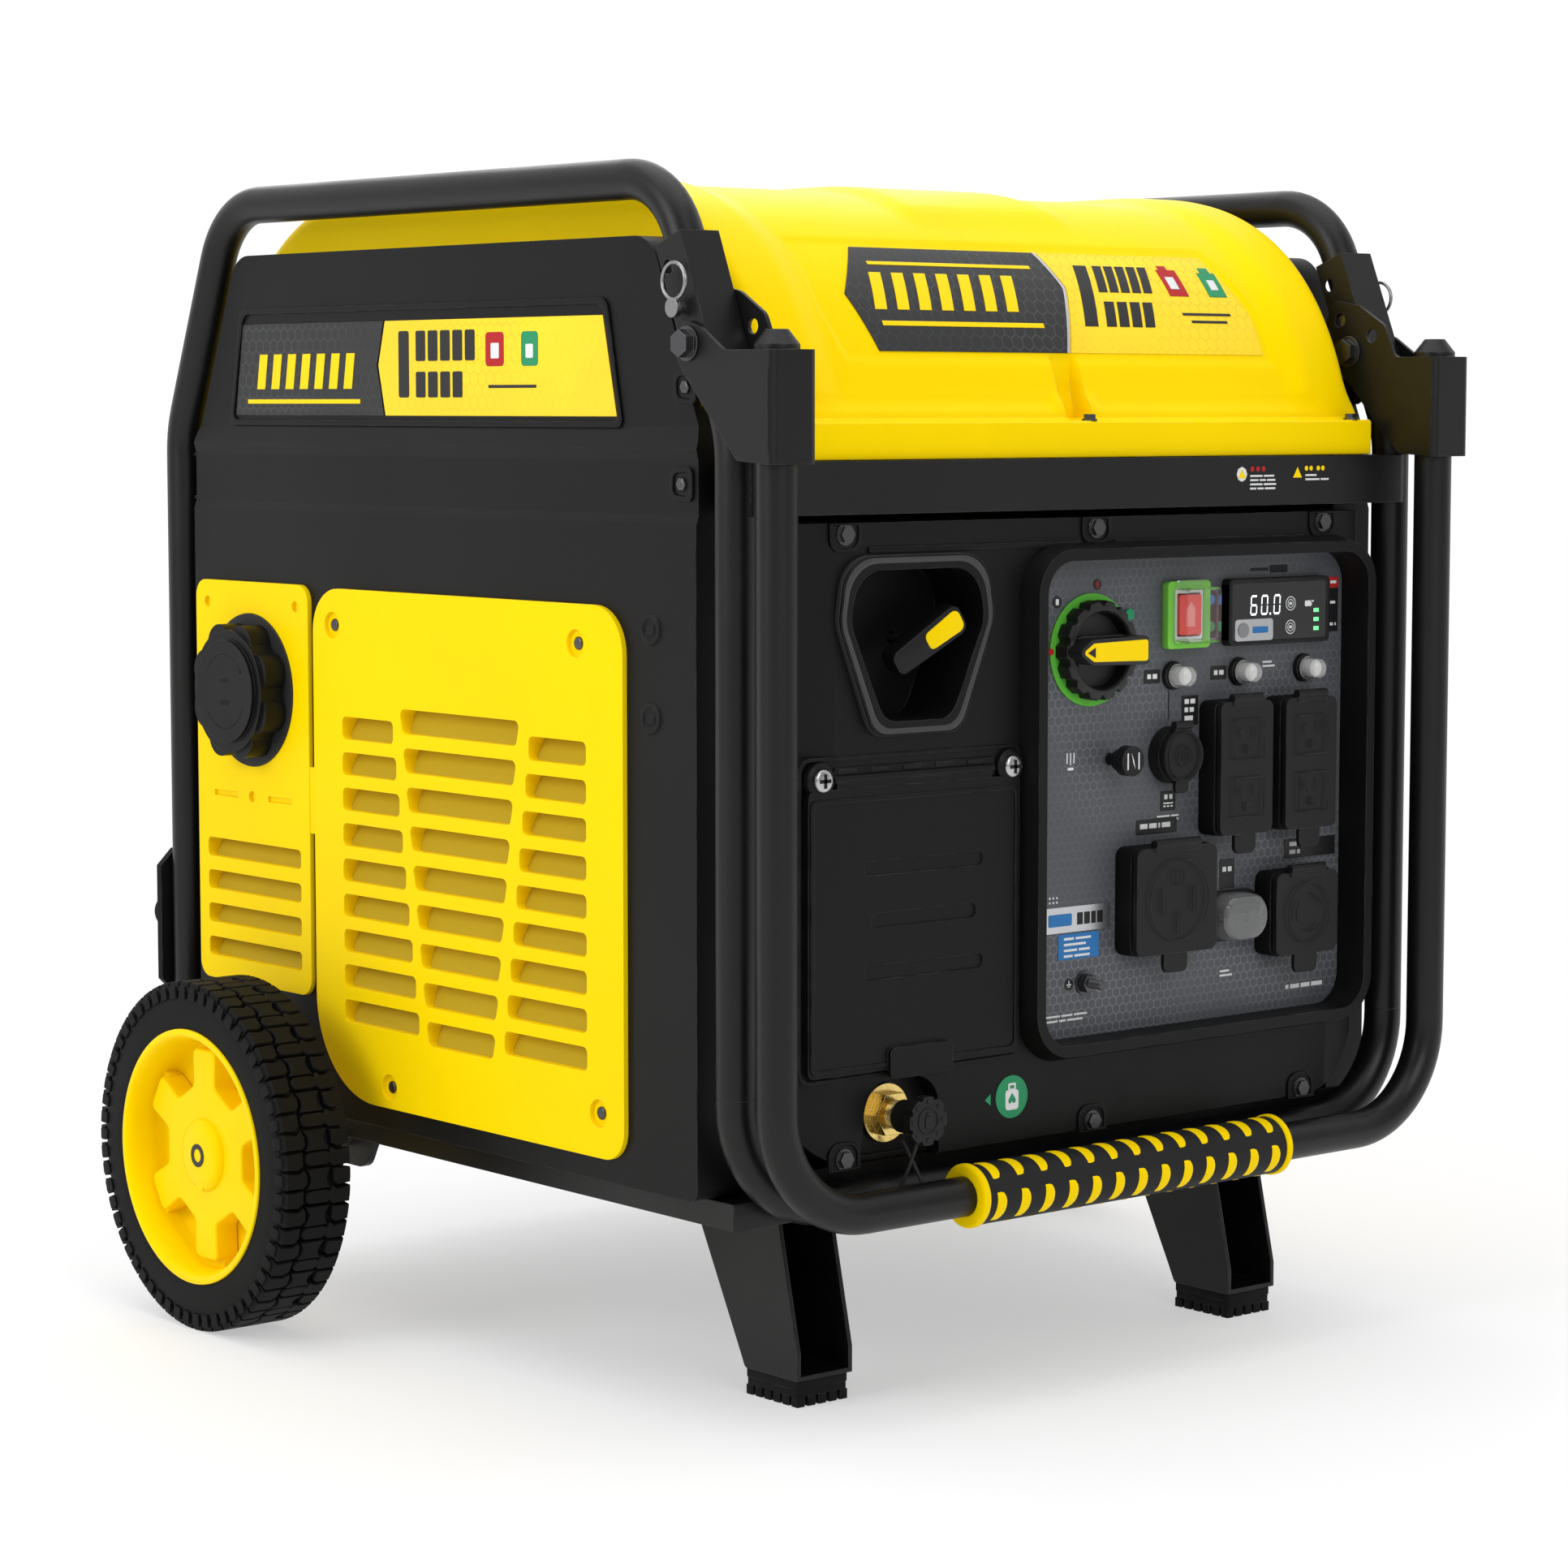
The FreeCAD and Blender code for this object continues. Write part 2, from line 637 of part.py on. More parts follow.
# ---- front fascia, rear cover and top cover -------------------------------------------
def case_plan(inset):
    """Plan of the fascia, (x, y, radius), flat in front and swept back to its sides."""
    half = CASE_X - inset
    return [
        (-half, 92.0 + inset, 0), (-half, 40.0 + inset, 8), (-224.0, FASCIA_Y + inset, 14),
        (224.0, FASCIA_Y + inset, 14), (half, 40.0 + inset, 8), (half, 92.0 + inset, 0),
    ]


def case_front(inset):
    """Front view of the fascia, its lower corners rounded inside the frame's bends."""
    half = CASE_X - inset
    low = FASCIA_LOW + inset
    high = FASCIA_HIGH - inset
    corner = 62.0 - inset
    return [(-half, low, corner), (half, low, corner), (half, high, 3), (-half, high, 3)]


def case_shell():
    solids = []
    for inset in (0, WALL):
        plan = slab_z(case_plan(inset), FASCIA_LOW + inset, FASCIA_HIGH - inset)
        solids.append(plan.common(slab_y(case_front(inset), 0.0, 120.0)))
    return solids[0].cut(solids[1])


RECOIL_TOP = 541.5
RECOIL_LOW = 429.0
RECOIL_X = -158.0


def recoil_outline(inset):
    """Mouth of the recoil pocket: a rounded shape that narrows towards the bottom."""
    wide = 65.0 - inset
    narrow = 37.0 - inset
    return [
        (RECOIL_X - narrow, RECOIL_LOW + inset, 16), (RECOIL_X + narrow, RECOIL_LOW + inset, 16),
        (RECOIL_X + wide, 500.0, 26), (RECOIL_X + wide - 6, RECOIL_TOP - inset, 24),
        (RECOIL_X - wide + 6, RECOIL_TOP - inset, 24), (RECOIL_X - wide, 500.0, 26),
    ]


DOOR_X = (-247.7, -70.4)
DOOR_Z = (219.6, 413.5)
DOOR_HINGE_Z = 404.4
DOOR_HINGE_Y = 27.5
INLET_X = -169.2
INLET_Z = 188.8


def inlet_pocket(margin):
    """Pocket round the gas inlet, open at the bottom and rounded at its top corners."""
    x0, x1 = INLET_X - 26 - margin, INLET_X + 34 + margin
    foot_x0 = INLET_X - 34 - margin
    top = INLET_Z + 24 + margin
    low = FASCIA_LOW - 5 + margin
    return [(foot_x0, low, 0), (x1, low, 0), (x1, top, 22), (x0, top, 22)]


def front_fascia():
    shell = case_shell()
    bezel_back = rectangle(BEZEL_X[0] + 4, BEZEL_X[1] - 4, BEZEL_Z[0] + 4, BEZEL_Z[1] - 4, 24)
    tools = [
        slab_y(bezel_back, FASCIA_Y - 5, FASCIA_Y + 12),
        slab_y(recoil_outline(6.0), FASCIA_Y - 5, FASCIA_Y + 12),
        box(DOOR_X[0] + 8, DOOR_X[1] - 8, FASCIA_Y - 5, FASCIA_Y + 12, DOOR_Z[0] + 10, DOOR_HINGE_Z - 16),
    ]
    tools.append(slab_y(inlet_pocket(0), FASCIA_Y - 5, FASCIA_Y + 12))
    opened = cut(shell, tools)
    x0, x1 = DOOR_X[0] + 2, DOOR_X[1] - 2
    z0, z1 = DOOR_Z[0] + 4, DOOR_HINGE_Z - 10
    bay_back_y = 56.0
    bay_frame = box(x0, x1, FASCIA_Y + WALL, bay_back_y + 2, z0, z1)
    bay = bay_frame.cut(box(x0 + WALL, x1 - WALL, FASCIA_Y, bay_back_y, z0 + WALL, z1 - WALL))
    cup = slab_y(inlet_pocket(WALL), FASCIA_Y + WALL - 0.5, 48.0)
    cup = cup.cut(slab_y(inlet_pocket(0), FASCIA_Y, 45.0))
    cup = cup.cut(rod(10.0, (INLET_X, 20, INLET_Z), (INLET_X, 60, INLET_Z)))
    return fuse([opened, bay, cup])


def rear_cover():
    """The fascia's twin at the rear, with louvres and the exhaust outlet."""
    shell = mirror_y(case_shell())
    face_y = 2 * MIDDLE_Y - FASCIA_Y
    tools = [rod(44.0, (120.0, face_y - 20, 400.0), (120.0, face_y + 20, 400.0))]
    for row in range(8):
        z = 220.0 + 34.0 * row
        tools.append(slab_y(rectangle(-210.0, -60.0, z, z + 14.0, 6), face_y - 20, face_y + 20))
    return cut(shell, tools)


def cover_profile(inset):
    """Side profile of the top cover, (y, z, radius)."""
    low = 600.5
    front_half = [
        (31.0 + inset, low, 0), (31.0 + inset, LEDGE_Z - inset, 0), (45.0 + inset, LEDGE_Z - inset, 6),
        (92.0 + inset, 737.0 - inset / 2, 60), (176.0, COVER_TOP - inset, 70),
    ]
    back_half = [(2 * MIDDLE_Y - y, z, radius) for y, z, radius in reversed(front_half)]
    return front_half + back_half


def top_cover():
    outer = slab_x(cover_profile(0), -COVER_X, COVER_X)
    profile = cover_profile(WALL)
    profile[0] = (profile[0][0], 599.0, 0)
    profile[-1] = (profile[-1][0], 599.0, 0)
    inner = slab_x(profile, -COVER_X + WALL, COVER_X - WALL)
    return outer.cut(inner)


def control_bezel():
    """Raised frame round the control plate, drafted on its outside."""
    x0, x1 = BEZEL_X
    z0, z1 = BEZEL_Z
    draft = 4.0
    front = wire_at_y(rectangle(x0, x1, z0, z1, 30), BEZEL_Y)
    back = wire_at_y(rectangle(x0 - draft, x1 + draft, z0 - draft, z1 + draft, 34), FASCIA_Y)
    skirt = slab_y(rectangle(x0 + 4.2, x1 - 4.2, z0 + 4.2, z1 - 4.2, 24), FASCIA_Y, PLATE_Y + PLATE_T)
    opening = rectangle(x0 + BEZEL_LIP, x1 - BEZEL_LIP, z0 + BEZEL_LIP, z1 - BEZEL_LIP, 22)
    frame = fuse([loft([front, back]), skirt])
    return frame.cut(slab_y(opening, 0, 60))


def recoil_bezel():
    """Lip and tapering cup of the recoil pocket, with the rope's hole in its back."""
    lip = slab_y(recoil_outline(0), 25.0, FASCIA_Y)
    sleeve = slab_y(recoil_outline(6.2), FASCIA_Y, 74.0)
    mouth = slab_y(recoil_outline(9.0), 20.0, 71.0)
    hole = rod(4.5, (GRIP_X, 60, GRIP_Z), (GRIP_X, 80, GRIP_Z))
    return cut(fuse([lip, sleeve]), [mouth, hole])


# ---- controls -----------------------------------------------------------------------
DIAL = (5.5, 475.0)
ROCKER = (91.6, 495.3)
DISPLAY = (177.4, 495.3)
BREAKER_X = (81.6, 144.8, 208.3)
BREAKER_Z = 455.0
CHOKE = (24.3, 402.3)
SOCKET_12V = (78.7, 402.3)
DUPLEX_X = (133.4, 196.5)
DUPLEX_Z = 391.6
LARGE_OUTLET = (68.0, 307.6)
LOCKING_OUTLET = (194.2, 289.0)
MAIN_BREAKER = (136.0, 290.0)
GROUND = (2.0, 256.0)
GRIP_X = -140.0
GRIP_Z = 487.0
DISPLAY_BUTTON = (142.0, 483.0)


def plate_holes():
    """Cutters for everything that passes through the control plate."""
    y0, y1 = PLATE_Y - 1, PLATE_Y + PLATE_T + 1
    holes = [
        rod(6.0 + RUN_CLEAR, (DIAL[0], y0, DIAL[1]), (DIAL[0], y1, DIAL[1])),
        rod(4.0 + RUN_CLEAR, (CHOKE[0], y0, CHOKE[1]), (CHOKE[0], y1, CHOKE[1])),
        slab_y(octagon(*SOCKET_12V, 18.6), y0, y1),
        pad_y(*ROCKER, 32.0, 36.0, 2, y0, y1),
        pad_y(*LARGE_OUTLET, 56.0, 52.0, 4, y0, y1),
        pad_y(*LOCKING_OUTLET, 44.0, 42.0, 4, y0, y1),
    ]
    for x in DUPLEX_X:
        holes.append(pad_y(x, DUPLEX_Z, 36.0, 72.0, 4, y0, y1))
    return holes


def control_plate():
    x0, x1 = BEZEL_X[0] + BEZEL_LIP, BEZEL_X[1] - BEZEL_LIP
    z0, z1 = BEZEL_Z[0] + BEZEL_LIP, BEZEL_Z[1] - BEZEL_LIP
    plate = slab_y(rectangle(x0, x1, z0, z1, 22), PLATE_Y, PLATE_Y + PLATE_T)
    return cut(plate, plate_holes())


def outlet_base(centre, size, body, sockets):
    """Outlet body: flange on the plate, deeper part behind it, contact slots in front."""
    x, z = centre
    front = pad_y(x, z, size[0], size[1], 6, OUTLET_Y, PLATE_Y)
    behind = pad_y(x, z, body[0], body[1], 4, PLATE_Y, 74.0)
    return cut(fuse([front, behind]), sockets)


def blade(x, z, width, height):
    return box(x - width / 2, x + width / 2, OUTLET_Y - 1, OUTLET_Y + 12, z - height / 2, z + height / 2)


def outlet_bases():
    outlets = []
    for x in DUPLEX_X:
        sockets = []
        for z in (DUPLEX_Z - 19.5, DUPLEX_Z + 19.5):
            sockets += [blade(x - 6.3, z + 3, 2.2, 9.0), blade(x + 6.3, z + 3, 2.2, 8.0)]
            sockets.append(rod(2.6, (x, OUTLET_Y - 1, z - 8), (x, OUTLET_Y + 12, z - 8)))
        outlets.append(outlet_base((x, DUPLEX_Z), (44.0, 84.0), (35.6, 71.6), sockets))
    x, z = LARGE_OUTLET
    sockets = [blade(x - 13, z, 2.6, 16.0), blade(x + 13, z, 2.6, 16.0), blade(x, z - 14, 2.6, 10.0)]
    sockets.append(rod(3.4, (x, OUTLET_Y - 1, z + 14), (x, OUTLET_Y + 12, z + 14)))
    outlets.append(outlet_base((x, z), (68.0, 64.0), (55.6, 51.6), sockets))
    x, z = LOCKING_OUTLET
    sockets = []
    for offset in (-10, 10):
        sockets.append(blade(x + offset, z, 2.2, 9.0))
        sockets.append(blade(x, z + offset, 9.0, 2.2))
    outlets.append(outlet_base((x, z), (54.0, 50.0), (43.6, 41.6), sockets))
    x, z = SOCKET_12V
    barrel = rod(15.6, (x, PLATE_Y, z), (x, 74.0, z))
    flange = rod(19.0, (x, 30.0, z), (x, PLATE_Y, z))
    bore = rod(10.5, (x, 29.0, z), (x, 66.0, z))
    outlets.append(cut(fuse([barrel, flange]), [bore]))
    return group(outlets)


def hinge_axis_z(centre_z, height):
    return centre_z + height / 2 + 2.5


def flip_cover(centre, size, tab_w):
    """Weather cover hinged along its top edge, with a pull tab below."""
    x, z = centre
    width, height = size
    y0 = OUTLET_Y - 0.4 - COVER_T
    y1 = OUTLET_Y - 0.4
    plate = pad_y(x, z, width, height, 6, y0, y1)
    hinge_z = hinge_axis_z(z, height)
    barrel = rod(3.0, (x - width * 0.28, y1 - 3.0, hinge_z), (x + width * 0.28, y1 - 3.0, hinge_z))
    neck = box(x - width * 0.28, x + width * 0.28, y1 - 5.0, y1, z + height / 2 - 3, hinge_z)
    tab = pad_y(x, z - height / 2 - 5, tab_w, 16.0, 5, y0 + 1, y1)
    return fuse([plate, barrel, neck, tab])


def round_cover():
    x, z = SOCKET_12V
    y1 = 29.6
    disc = rod(18.0, (x, y1 - COVER_T, z), (x, y1, z))
    barrel = rod(2.8, (x - 8, y1 - 2.8, z + 20.5), (x + 8, y1 - 2.8, z + 20.5))
    neck = box(x - 8, x + 8, y1 - 4.0, y1, z + 15, z + 20.5)
    tab = pad_y(x, z - 20.0, 12.0, 10.0, 4, y1 - COVER_T + 1, y1)
    return fuse([disc, barrel, neck, tab])


def engine_dial():
    """Ribbed selector knob with a pointer bar across it, on a shaft through the plate."""
    x, z = DIAL
    base = rod(31.0, (x, 30.0, z), (x, PLATE_Y - 0.4, z))
    ribs = []
    for i in range(16):
        angle = 2 * math.pi * i / 16
        rx = x + 31.0 * math.cos(angle)
        rz = z + 31.0 * math.sin(angle)
        ribs.append(rod(2.2, (rx, 31.0, rz), (rx, PLATE_Y - 0.4, rz)))
    hub = rod(24.0, (x, 26.0, z), (x, 30.0, z))
    pointer_outline = [
        (x - 30, z, 4), (x - 20, z - 9, 6), (x + 26, z - 9, 4), (x + 26, z + 9, 4), (x - 20, z + 9, 6),
    ]
    pointer = slab_y(pointer_outline, 14.0, 26.0)
    shaft = rod(6.0, (x, PLATE_Y - 0.4, z), (x, 60.0, z))
    return fuse([base, hub, pointer, shaft] + ribs)


def rocker_switch():
    """Rocker paddle on its cross pivot."""
    x, z = ROCKER
    paddle = pad_y(x, z, 20.0, 27.0, 2, 33.0, 40.0)
    pivot = rod(1.6, (x - 10.8, 38.0, z), (x + 10.8, 38.0, z))
    return fuse([paddle, pivot])


def rocker_cover():
    """Clear hinged guard over the rocker."""
    x, z = ROCKER
    outer = pad_y(x, z, 32.0, 37.0, 4, 20.0, 33.6)
    inner = pad_y(x, z, 29.0, 34.0, 3, 21.5, 34.0)
    barrel = rod(2.0, (x - 13, 31.5, z + 21.0), (x + 13, 31.5, z + 21.0))
    neck = box(x - 13, x + 13, 30.5, 33.0, z + 18.0, z + 21.0)
    return fuse([outer.cut(inner), barrel, neck])


def panel_fittings():
    """Rocker frame, breaker collars, main breaker body and the earth terminal."""
    y0 = PLATE_Y
    x, z = ROCKER
    frame = pad_y(x, z, 40.0, 45.0, 4, 34.0, y0).cut(pad_y(x, z, 22.0, 29.6, 2, 30.0, y0 + 1))
    body = pad_y(x, z, 31.0, 35.0, 2, y0, 66.0).cut(pad_y(x, z, 22.0, 29.6, 2, y0 - 1, 50.0))
    pieces = [fuse([frame, body])]
    for bx in BREAKER_X:
        collar = rod(9.0, (bx, 36.5, BREAKER_Z), (bx, y0, BREAKER_Z))
        pieces.append(collar.cut(rod(6.0, (bx, 35.0, BREAKER_Z), (bx, y0 + 1, BREAKER_Z))))
    x, z = MAIN_BREAKER
    pieces.append(pad_y(x, z, 42.0, 30.0, 3, 34.0, y0))
    x, z = GROUND
    nut = rod(6.5, (x, 33.0, z), (x, y0, z))
    stud = rod(3.0, (x, 22.0, z), (x, 33.0, z))
    pieces.append(fuse([nut, stud]))
    return group(pieces)


def breaker_boots():
    """Clear domed boots over the three small breakers, and the main breaker's shield."""
    boots = []
    for x in BREAKER_X:
        outer = rod(9.5, (x, 22.0, BREAKER_Z), (x, 36.5, BREAKER_Z))
        boots.append(outer.cut(rod(8.0, (x, 23.5, BREAKER_Z), (x, 37.0, BREAKER_Z))))
    x, z = MAIN_BREAKER
    outer = pad_y(x, z, 44.0, 32.0, 10, 20.0, 33.9)
    boots.append(outer.cut(pad_y(x, z, 41.0, 29.0, 8.5, 21.5, 34.0)))
    return group(boots)


def breaker_button(x):
    return rod(5.0, (x, 28.0, BREAKER_Z), (x, 38.0, BREAKER_Z))


def main_breaker_lever():
    """Two tied toggle levers on one cross pivot."""
    x, z = MAIN_BREAKER
    left = pad_y(x - 9, z, 9.0, 8.0, 2, 25.0, 32.5)
    right = pad_y(x + 9, z, 9.0, 8.0, 2, 25.0, 32.5)
    tie = box(x - 6, x + 6, 26.0, 29.0, z - 2, z + 2)
    pivot = rod(1.6, (x - 15.0, 31.5, z), (x + 15.0, 31.5, z))
    return fuse([left, right, tie, pivot])


def display_module():
    x, z = DISPLAY
    body = pad_y(x, z, 98.5, 45.0, 4, 33.0, PLATE_Y)
    window = pad_y(x - 14, z + 5, 56.0, 24.0, 2, 32.0, 34.0)
    bx, bz = DISPLAY_BUTTON
    button_way = rod(5.6, (bx, 30.0, bz), (bx, 38.0, bz))
    return cut(body, [window, button_way])


def display_button():
    x, z = DISPLAY_BUTTON
    return rod(5.0, (x, 32.0, z), (x, 36.0, z))


def choke_knob():
    """Pull knob on a straight rod."""
    x, z = CHOKE
    head = rod(10.0, (x, 18.0, z), (x, 26.0, z))
    neck = rod(7.0, (x, 26.0, z), (x, 32.0, z))
    stem = rod(4.0, (x, 32.0, z), (x, 96.0, z))
    return fuse([head, neck, stem])


def recoil_grip():
    """Pull grip lying across the pocket, and the rope that follows it out."""
    tilt = math.radians(33.0)
    half = 28.0
    radius = 8.5
    start = (GRIP_X - half * math.cos(tilt), 48.0, GRIP_Z - half * math.sin(tilt))
    end = (GRIP_X + half * math.cos(tilt), 38.0, GRIP_Z + half * math.sin(tilt))
    bar = rod(radius, start, end)
    ends = [Part.makeSphere(radius, vec(*start)), Part.makeSphere(radius, vec(*end))]
    rope = rod(3.0, (GRIP_X, 44.0, GRIP_Z), (GRIP_X, 540.0, GRIP_Z))
    return fuse([bar] + ends + [rope])


def service_door():
    """Flap hinged along its top, with grip grooves and a latch tab."""
    x0, x1 = DOOR_X
    hinge_y = DOOR_HINGE_Y
    z1 = DOOR_HINGE_Z - 6.0
    panel = slab_y(rectangle(x0, x1, DOOR_Z[0], z1, 5), 25.6, 29.6)
    barrel = rod(2.4, (x0 + 22, hinge_y, DOOR_HINGE_Z), (x1 - 22, hinge_y, DOOR_HINGE_Z))
    neck = box(x0 + 24, x1 - 24, 26.0, 29.0, z1 - 4, DOOR_HINGE_Z)
    tab = slab_y(rectangle(-182.4, -129.9, DOOR_Z[0] - 6, DOOR_Z[0] + 14, 4), 22.6, 26.0)
    grooves = []
    for z, half in ((347.3, 50.0), (314.6, 44.0), (281.8, 50.0)):
        grooves.append(pad_y(-152.0, z, 2 * half, 9.0, 4, 24.0, 26.8))
    return cut(fuse([panel, barrel, neck, tab]), grooves)


def lpg_inlet():
    """Brass inlet fitting: hex flange, threaded spigot and the pipe behind it."""
    hexagon = hex_bolt((INLET_X, 43.0, INLET_Z), (0, -1, 0), 15.0, 8.0)
    spigot = rod(8.0, (INLET_X, 14.0, INLET_Z), (INLET_X, 34.0, INLET_Z))
    pipe = rod(9.9, (INLET_X, 43.0, INLET_Z), (INLET_X, 70.0, INLET_Z))
    return fuse([hexagon, spigot, pipe])


def lpg_cap():
    """Notched dust cap turned on to the inlet's spigot."""
    skirt = rod(10.5, (INLET_X, 8.0, INLET_Z), (INLET_X, 26.0, INLET_Z))
    disc = rod(15.5, (INLET_X, 2.0, INLET_Z), (INLET_X, 8.0, INLET_Z))
    bore = rod(8.0 + RUN_CLEAR, (INLET_X, 13.5, INLET_Z), (INLET_X, 27.0, INLET_Z))
    notches = []
    for i in range(8):
        angle = 2 * math.pi * (i + 0.5) / 8
        nx = INLET_X + 15.5 * math.cos(angle)
        nz = INLET_Z + 15.5 * math.sin(angle)
        notches.append(rod(1.8, (nx, 1.0, nz), (nx, 9.0, nz)))
    return cut(fuse([skirt, disc]), [bore] + notches)


TETHER_R = 1.2


def lpg_tether():
    """Cap's tether: a thin strap that hangs in a loop from the inlet and back up."""
    bottom = 126.0
    points = [
        (INLET_X + 4, 31.0, INLET_Z - 17), (INLET_X + 9, 26.0, 158.0), (INLET_X + 13, 19.4, bottom + 15),
        (INLET_X + 11, 19.4, bottom), (INLET_X - 9, 19.4, bottom), (INLET_X - 11, 19.4, bottom + 15),
        (INLET_X - 5, 14.0, 158.0), (INLET_X, 11.0, INLET_Z - 12),
    ]
    radii = []
    for i in range(1, len(points) - 1):
        corner = vec(*points[i])
        back = vec(*points[i - 1]) - corner
        on = vec(*points[i + 1]) - corner
        turn = math.pi - back.getAngle(on)
        radii.append(0.45 * min(back.Length, on.Length) / math.tan(turn / 2))
    print("tether radii", [round(r, 1) for r in radii])
    return bent_bar(points, radii, TETHER_R)


# ---- fuel, wheels and bumpers -------------------------------------------------------
def fuel_cap():
    """Eight-lobed cap with a domed face."""
    y, z = FILLER
    lobes = 8
    core = rod(43.0, (-PANEL_X - 23.0, y, z), (-PANEL_X - 5.0, y, z))
    grips = []
    for i in range(lobes):
        angle = 2 * math.pi * (i + 0.5) / lobes
        gy = y + 34.0 * math.cos(angle)
        gz = z + 34.0 * math.sin(angle)
        grips.append(rod(15.0, (-PANEL_X - 21.0, gy, gz), (-PANEL_X - 5.0, gy, gz)))
    face = rod(36.0, (-PANEL_X - 26.0, y, z), (-PANEL_X - 23.0, y, z))
    return fuse([core, face] + grips)


def fuel_tank():
    """Tank with its filler neck and the ring round the cap; closed, standing for a full tank."""
    y, z = FILLER
    tank = box(-258.0, -142.0, 400.0, 634.0, 200.0, 470.0)
    tank = tank.makeFillet(14.0, tank.Edges)
    neck = rod(40.0, (-PANEL_X - 4.6, y, z), (-250.0, y, z))
    ring = rod(53.8, (-PANEL_X - 4.6, y, z), (-PANEL_X + 8, y, z))
    return fuse([tank, neck, ring])


def tyre_left():
    """Tyre with rounded shoulders, turned about the axle."""
    out_x = -WHEEL_OUT_X
    in_x = out_x + WHEEL_W
    lip_x = out_x + RIM_LIP_T
    profile = [
        (lip_x, RIM_R - RIM_LIP, 0), (lip_x, RIM_R, 0), (out_x, RIM_R, 0), (out_x, WHEEL_R - 12, 10),
        (out_x + 9, WHEEL_R, 8), (in_x - 9, WHEEL_R, 8), (in_x, WHEEL_R - 12, 10),
        (in_x, RIM_R, 3), (in_x - 3, RIM_R - RIM_LIP, 0),
    ]
    edges = rounded_edges(profile, lambda p: vec(p.x, WHEEL_Y, WHEEL_R + p.y))
    return Part.Face(Part.Wire(edges)).revolve(vec(0, WHEEL_Y, WHEEL_R), X_AXIS, 360)


def rim_left():
    """Moulded rim: lipped barrel, six-armed plate and hub on the axle."""
    out_x = -WHEEL_OUT_X
    in_x = out_x + WHEEL_W
    centre = (WHEEL_Y, WHEEL_R)
    lip_x = out_x + RIM_LIP_T
    barrel = rod(RIM_R - RIM_LIP, (lip_x, *centre), (in_x - 3, *centre))
    lip = rod(RIM_R, (out_x, *centre), (lip_x, *centre))
    barrel = fuse([barrel, lip])
    inside_r = RIM_R - 2 * RIM_LIP
    well = rod(inside_r, (out_x - 1, *centre), (in_x, *centre))
    plate_x = (out_x + 16.0, out_x + 24.0)
    arms = []
    for i in range(6):
        angle = 60.0 * i + 30.0
        arm = slab_x([(24, -19, 0), (inside_r, -20, 0), (inside_r, 20, 0), (24, 19, 0)], *plate_x)
        arm.rotate(HERE, X_AXIS, angle)
        arm.translate(vec(0, WHEEL_Y, WHEEL_R))
        arms.append(arm)
    disc = rod(52.0, (plate_x[0], *centre), (plate_x[1], *centre))
    hub = rod(24.0, (out_x + 8.0, *centre), (in_x - 1.0, *centre))
    bore = rod(AXLE_R + RUN_CLEAR, (out_x + 11.5, *centre), (in_x + 1, *centre))
    return fuse([barrel.cut(well), disc, hub] + arms).cut(bore)


def rear_bumper():
    """Right-hand bumper: chamfered plate behind the rear upright with a rubber dome."""
    x = SIDE_X
    y0 = REAR_Y + TUBE_R
    half, low, high, chamfer = 17.0, 205.0, 312.0, 12.0
    outline = [
        (x - half, low + chamfer, 0), (x - half + chamfer, low, 0), (x + half - chamfer, low, 0),
        (x + half, low + chamfer, 0), (x + half, high - chamfer, 0), (x + half - chamfer, high, 0),
        (x - half + chamfer, high, 0), (x - half, high - chamfer, 0),
    ]
    plate = slab_y(outline, y0, y0 + 6.0)
    z = (low + high) / 2 + 6
    stem = rod(14.0, (x, y0 + 6.0, z), (x, 693.0, z))
    dome = Part.makeSphere(14.0, vec(x, 691.0, z)).common(box(x - 20, x + 20, 690.0, 720.0, z - 20, z + 20))
    return fuse([plate, stem, dome])


# ---- fasteners ------------------------------------------------------------------------
def case_bolts():
    bolts = []
    for side in (-1, 1):
        x_out = side * (SIDE_X + EAR_GAP + EAR_T + 0.3)
        x_in = side * (SIDE_X - EAR_GAP - EAR_T - 0.3)
        shank = rod(PIVOT_BOLT_R, (x_in, PIVOT_Y, PIVOT_Z), (x_out, PIVOT_Y, PIVOT_Z))
        outer = hex_bolt((x_out, PIVOT_Y, PIVOT_Z), (side, 0, 0), 8.5, 6.0)
        inner = hex_bolt((x_in, PIVOT_Y, PIVOT_Z), (-side, 0, 0), 8.5, 6.0)
        bolts.append(fuse([shank, outer, inner]))
    upper_row = [(x, 555.0) for x in (-215.0, 0.0, 215.0)]
    lower_row = [(x, 166.0) for x in (-215.0, 0.0, 200.0)]
    for x, z in upper_row + lower_row:
        bolts.append(hex_bolt((x, FASCIA_Y, z), (0, -1, 0), 5.5, 3.0))
    for x in (-250.0, 0.0, 250.0):
        bolts.append(hex_bolt((x, 36.3, LEDGE_Z), (0, 0, 1), 4.0, 3.0))
    return group(bolts)


# ---- working parts inside -------------------------------------------------------------
def crank_rotor():
    """Crankshaft with the magnet flywheel cup that turns round the stator."""
    c = (CRANK_X, CRANK_Z)
    shaft = rod(CRANK_R, (c[0], 128.0, c[1]), (c[0], 430.0, c[1]))
    cup = rod(108.0, (c[0], 150.0, c[1]), (c[0], 212.0, c[1]))
    room = rod(98.0, (c[0], 158.0, c[1]), (c[0], 213.0, c[1]))
    return fuse([shaft, cup.cut(room)])


